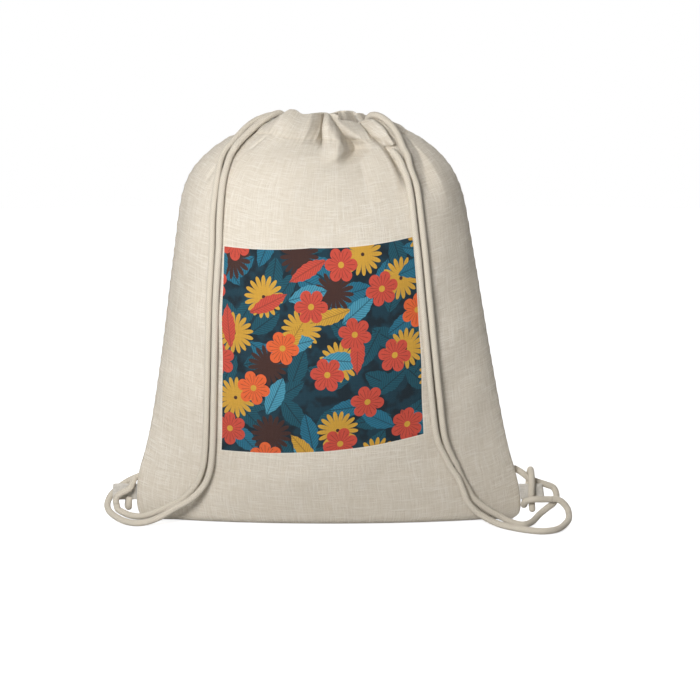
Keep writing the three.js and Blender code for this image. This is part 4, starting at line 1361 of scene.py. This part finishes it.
def make_thread():
    material, tree, shader = new_material("Sewing thread", 0.7, sheen=0.1)
    coordinates = tree.nodes.new("ShaderNodeTexCoord").outputs["Object"]
    strand = tree.nodes.new("ShaderNodeTexNoise")
    plug(tree, coordinates, strand.inputs["Vector"])
    strand.inputs["Scale"].default_value = THREAD_GRAIN
    colour = blend_colours(tree, strand.outputs["Fac"], THREAD_DARK, THREAD_LIGHT)
    plug(tree, colour, shader.inputs["Base Color"])
    bump(tree, shader, strand.outputs["Fac"], THREAD_DEPTH)
    return material


thread = make_thread()
for stitch_label, side in (("front", FRONT), ("back", BACK)):
    stitches(f"channel_stitches_{stitch_label}", side, [thread])

# %% [markdown]
# ## The corner tabs
#
# Each tab is a short strip of cotton tape folded in half, with both ends caught in the side seam. It is
# what the shoulder cords are tied to. The strip follows a line that leaves the seam, goes round a small
# loop and comes back, and a section with rounded edges is swept along it.

# %% Build the tabs
TAB_LONG = 0.024
TAB_TALL = 0.016
TAB_THICK = 1.2 * MM
TAB_GAP = 2.2 * MM
TAB_UP = 0.020
PIECE_GAP = 0.3 * MM
TAB_STEPS = 36
TAB_ROWS = 24
TAB_EDGE = 0.9 * MM  # how far its rounded edges reach in
TAB_RIB = 0.10  # how high the tape's ribs stand, as a share of its thickness
TAB_RIBS = 6.5  # in half of its height
TAB_WAVE = 0.35 * MM  # how far the tape lies out of true
TAB_SELVEDGE = 0.86  # from this share of its half height outward the tape has its firmer edge
SELVEDGE_THICK = 1.08


def seam_out(side, up):
    """Where the side seam stands at a height above the floor."""
    share = np.linspace(0, 1, 1001)
    at = np.interp(up, read(SEAM_LINE, "up", share), share)
    return side * read(SEAM_LINE, "out", at) + read(SEAM_LINE, "shift", at)


def tab_line():
    """The strip's middle, from one sewn end round the loop to the other, and the directions across it."""
    root = (TAB_THICK + 0.1 * MM) / 2
    loop = (TAB_GAP + TAB_THICK) / 2
    bend_at = TAB_LONG - TAB_THICK / 2 - loop
    run = np.linspace(0, 1, TAB_STEPS)
    x = bend_at * run
    y = root + (loop - root) * smooth(run * 1.3)
    angle = np.linspace(math.pi / 2, -math.pi / 2, TAB_STEPS)[1:-1]
    curve = np.stack([bend_at + loop * np.cos(angle), loop * np.sin(angle)], -1)
    line = np.concatenate([np.stack([x, y], -1), curve, np.stack([x, -y], -1)[::-1]])
    ahead = unit(np.gradient(line, axis=0))
    return line, np.stack([-ahead[:, 1], ahead[:, 0]], -1)


def tab(name, side, materials):
    line, across = tab_line()
    gone = np.concatenate([[0], np.cumsum(np.linalg.norm(np.diff(line, axis=0), axis=1))])
    rows = np.linspace(-1, 1, TAB_ROWS)
    round_edge = TAB_EDGE / (TAB_TALL / 2)
    edge = np.sqrt(np.maximum(0, 1 - clamp01((np.abs(rows) - 1 + round_edge) / round_edge) ** 2))
    rib = 1 + TAB_RIB * np.cos(2 * np.pi * rows * TAB_RIBS)
    half = TAB_THICK / 2 * np.maximum(0.25, edge) * np.where(np.abs(rows) > TAB_SELVEDGE, SELVEDGE_THICK, rib)
    heights = TAB_UP + TAB_TALL / 2 * (1 + rows)
    up_section = np.concatenate([heights, heights[::-1]])
    out_section = np.concatenate([half, -half[::-1]])
    flat = line[:, None, :] + across[:, None, :] * out_section[None, :, None]
    lie = TAB_WAVE * np.sin(gone[:, None] * 300 + up_section[None, :] * 420)
    x = seam_out(side, up_section)[None, :] + side * (PIECE_GAP + flat[..., 0])
    y = flat[..., 1] + lie * smooth(flat[..., 0] / 0.006)
    points = np.stack([x, y, np.broadcast_to(up_section, x.shape)], -1)
    number = np.arange(points[..., 0].size).reshape(points.shape[:2])
    following = np.roll(number, -1, axis=1)
    quads = np.stack([number[:-1], number[1:], following[1:], following[:-1]], -1).reshape(-1, 4)
    groups = [quads, number[0][None, :], number[-1][None, ::-1]]
    if side == RIGHT:
        groups = [group[:, ::-1] for group in groups]
    tape = np.stack(np.broadcast_arrays(gone[:, None], up_section), -1).reshape(-1, 2)
    corners = np.concatenate([group.ravel() for group in groups])
    piece = new_mesh(name, points.reshape(-1, 3), groups, {"Cloth": tape[corners]}, materials=materials)
    print(f"{name}: {len(piece.data.polygons)} faces, {gone[-1]:.4f} m of tape")
    return piece, gone[-1]


def make_tape():
    material, tree, shader = new_material("Cotton tape", 0.9, sheen=0.1)
    weave = use(tree, slub_weave, Vector=uv_map(tree, "Cloth"), Threads_per_Metre=1700.0, Slub_Length=0.006)
    colour = blend_colours(tree, weave["Tone"], srgb(206, 200, 190), srgb(236, 231, 222))
    plug(tree, colour, shader.inputs["Base Color"])
    bump(tree, shader, weave["Height"], WEAVE_DEPTH)
    return material


cotton_tape = make_tape()
for tab_name, tab_node, side in (("tape_left", "tab_left", LEFT), ("tape_right", "tab_right", RIGHT)):
    tape, tape_long = tab(tab_name, side, [cotton_tape])
    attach(tape, "root")
    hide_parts(tab_node)

# %% [markdown]
# ## Cotton cords and their knots
#
# The cords' material uses the same count of strands as their mesh, so its bump and its painted shade fall
# into the same grooves. Each strand is a bundle of fine yarn that runs along it, and the grooves between
# the strands are painted darker, as painted shade where shadow would fall.

# %% Material of the braid
YARNS_ACROSS = 6.0  # how fine a strand's yarns are across it, and along it
YARNS_ALONG = 0.6
YARN_DARK = srgb(196, 186, 168)
YARN_LIGHT = srgb(226, 218, 204)
# a painted shade colour laid into the grooves between the strands, and how strongly it is laid on
PAINTED_GROOVE_SHADE = srgb(150, 136, 114)
PAINTED_GROOVE_STRENGTH = 0.55
YARN_DEPTH = 0.4 * MM


def make_braid():
    """From a turn's share and the lays gone: the braid's height, its grooves' painted shade, and its strands'
    yarn.
    """
    group, given, result = new_group(
        "Round braid",
        {"Vector": (0.0, 0.0, 0.0), "Strands": 8.0},
        {"Height": "Float", "Painted Groove Shade": "Float", "Yarn": "Float"},
    )
    turn, gone, _ = split(group, given["Vector"])
    right_hand = times(group, plus(group, turn, gone), given["Strands"])
    left_hand = times(group, minus(group, turn, gone), given["Strands"])
    right_number, left_number = calc(group, "FLOOR", right_hand), calc(group, "FLOOR", left_hand)
    right_on_top = is_even(group, plus(group, right_number, left_number))

    def strand_hump(value):
        aside = from_middle(group, value)
        return minus(group, 1.0, times(group, aside, aside))

    def whichever(if_right, if_left):
        return blend_values(group, right_on_top, if_left, if_right)

    over = whichever(strand_hump(right_hand), strand_hump(left_hand))
    under = whichever(strand_hump(left_hand), strand_hump(right_hand))
    height = times(group, calc(group, "SQRT", over), times_plus(group, under, BRAID_DIP, 1 - BRAID_DIP))
    plug(group, height, result["Height"])
    # painted shade: 1 where the braid is low, in the grooves where shadow would fall
    plug(group, between(group, height, 0.62, 0.2), result["Painted Groove Shade"])
    across = times(group, whichever(right_hand, left_hand), YARNS_ACROSS)
    along = times(group, whichever(left_hand, right_hand), YARNS_ALONG)
    plug(group, noise(group, join(group, across, along), 1.0, detail=2.0), result["Yarn"])
    return group


round_braid = make_braid()


def make_cotton():
    material, tree, shader = new_material("Braided cotton", 0.88, sheen=0.15)
    braid = use(tree, round_braid, Vector=uv_map(tree, "Braid"), Strands=float(STRANDS))
    yarn = blend_colours(tree, braid["Yarn"], YARN_DARK, YARN_LIGHT)
    # painted shade: the yarn colour is darkened in the grooves between the strands
    yarn_with_painted_shade = blend_colours(tree, times(tree, braid["Painted Groove Shade"], PAINTED_GROOVE_STRENGTH), yarn, PAINTED_GROOVE_SHADE)
    plug(tree, yarn_with_painted_shade, shader.inputs["Base Color"])
    fine = times_plus(tree, braid["Yarn"], 0.35, braid["Height"])
    bump(tree, shader, fine, YARN_DEPTH)
    return material


braided_cotton = make_cotton()
print("made", braided_cotton.name)

# %% Lay the cords and tie the knots
cords = {}
for node, route, joined, _ in CORDS:
    piece, line, total = braided_cord("braid_" + node, route, joined, [braided_cotton])
    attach(piece, "root")
    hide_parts(node)
    cords[node] = (piece, line, total)

for node, _, _, far_end in CORDS:
    if far_end is None:
        continue
    piece, line, total = cords[node]

# %% [markdown]
# ## Floor and light
#
# The photograph was taken on white, with one soft light close in front on the left, so the bag's right
# half is darker. A sheet of paper curved up behind the bag would do, but it would hide the bag from
# behind, so the floor is a wide flat disc and the sky round it is white too. A far sun would light both
# halves alike, so the light is a lamp about a metre away. The sky fills the shadows, and a weak sun
# from behind lights the back, which the lamp can't reach.

# %% Set the floor and the light
FLOOR_WIDE = 9.0
FLOOR_TONE = 0.55
FLOOR_GAP = 0.2 * MM  # under the cloth that lies on the floor
FLOOR_SIDES = 96

floor_mesh = bpy.data.meshes.new("floor")
angles = 2 * np.pi * np.arange(FLOOR_SIDES) / FLOOR_SIDES
corners = [(FLOOR_WIDE / 2 * math.cos(a), FLOOR_WIDE / 2 * math.sin(a), -FLOOR_GAP) for a in angles]
floor_mesh.from_pydata(corners, [], [tuple(range(FLOOR_SIDES))])
floor = bpy.data.objects.new("floor", floor_mesh)
bpy.context.scene.collection.objects.link(floor)
floor_finish, floor_tree, floor_shader = new_material("White studio floor", 0.85)
floor_shader.inputs["Base Color"].default_value = (FLOOR_TONE, FLOOR_TONE, FLOOR_TONE, 1.0)
floor_mesh.materials.append(floor_finish)

WHITE = (1.0, 1.0, 1.0, 1.0)
SKY_FRONT = 0.14  # how bright the sky's light is in front of the bag, and behind it
SKY_BACK = 0.60
SKY_TURNS = (-0.1, 0.8)  # where the one begins to turn into the other, and where it has
SKY_SEEN = 1.0
FLOOR_SEEN = 0.80
LAMP_PLACE = Vector((-0.30, -1.00, 0.62))
LAMP_AIM = Vector((0.0, -0.05, 0.22))
LAMP_WIDE = 0.42
LAMP_WATTS = 12.7
FILL_STRENGTH = 1.5
FILL_WIDE = math.radians(40)
FILL_WAY = Vector((-0.25, -0.80, -0.55))  # from behind, so it lights the back and the floor


def white_to_the_camera(tree, lit, seen):
    """A strength that is lit for the light that falls on things, and seen for the camera."""
    path = tree.nodes.new("ShaderNodeLightPath")
    return blend_values(tree, path.outputs["Is Camera Ray"], lit, seen)


world = bpy.data.worlds.new("White studio")
world.use_nodes = True
sky = world.node_tree
background = sky.nodes["Background"]
background.inputs["Color"].default_value = WHITE
toward = sky.nodes.new("ShaderNodeTexCoord").outputs["Generated"]
lit = sky.nodes.new("ShaderNodeMapRange")
plug(sky, split(sky, toward)[1], lit.inputs["Value"])
for label, value in zip(("From Min", "From Max", "To Min", "To Max"), (*SKY_TURNS, SKY_FRONT, SKY_BACK)):
    lit.inputs[label].default_value = value
plug(sky, white_to_the_camera(sky, lit.outputs[0], SKY_SEEN), background.inputs["Strength"])
bpy.context.scene.world = world

floor_shader.inputs["Emission Color"].default_value = WHITE
plug(floor_tree, white_to_the_camera(floor_tree, 0.0, FLOOR_SEEN), floor_shader.inputs["Emission Strength"])

lamp = bpy.data.lights.new("Soft light from the left", "AREA")
lamp.shape = "DISK"
lamp.size = LAMP_WIDE
lamp.energy = LAMP_WATTS
lamp_object = bpy.data.objects.new(lamp.name, lamp)
lamp_object.location = LAMP_PLACE
lamp_object.rotation_euler = (LAMP_AIM - LAMP_PLACE).to_track_quat("-Z", "Y").to_euler()
bpy.context.scene.collection.objects.link(lamp_object)

fill = bpy.data.lights.new("Soft fill from behind", "SUN")
fill.energy = FILL_STRENGTH
fill.angle = FILL_WIDE
fill_object = bpy.data.objects.new(fill.name, fill)
fill_object.rotation_euler = FILL_WAY.to_track_quat("-Z", "Y").to_euler()
bpy.context.scene.collection.objects.link(fill_object)
bpy.context.scene.view_settings.view_transform = "Standard"
print("floor and light are set")
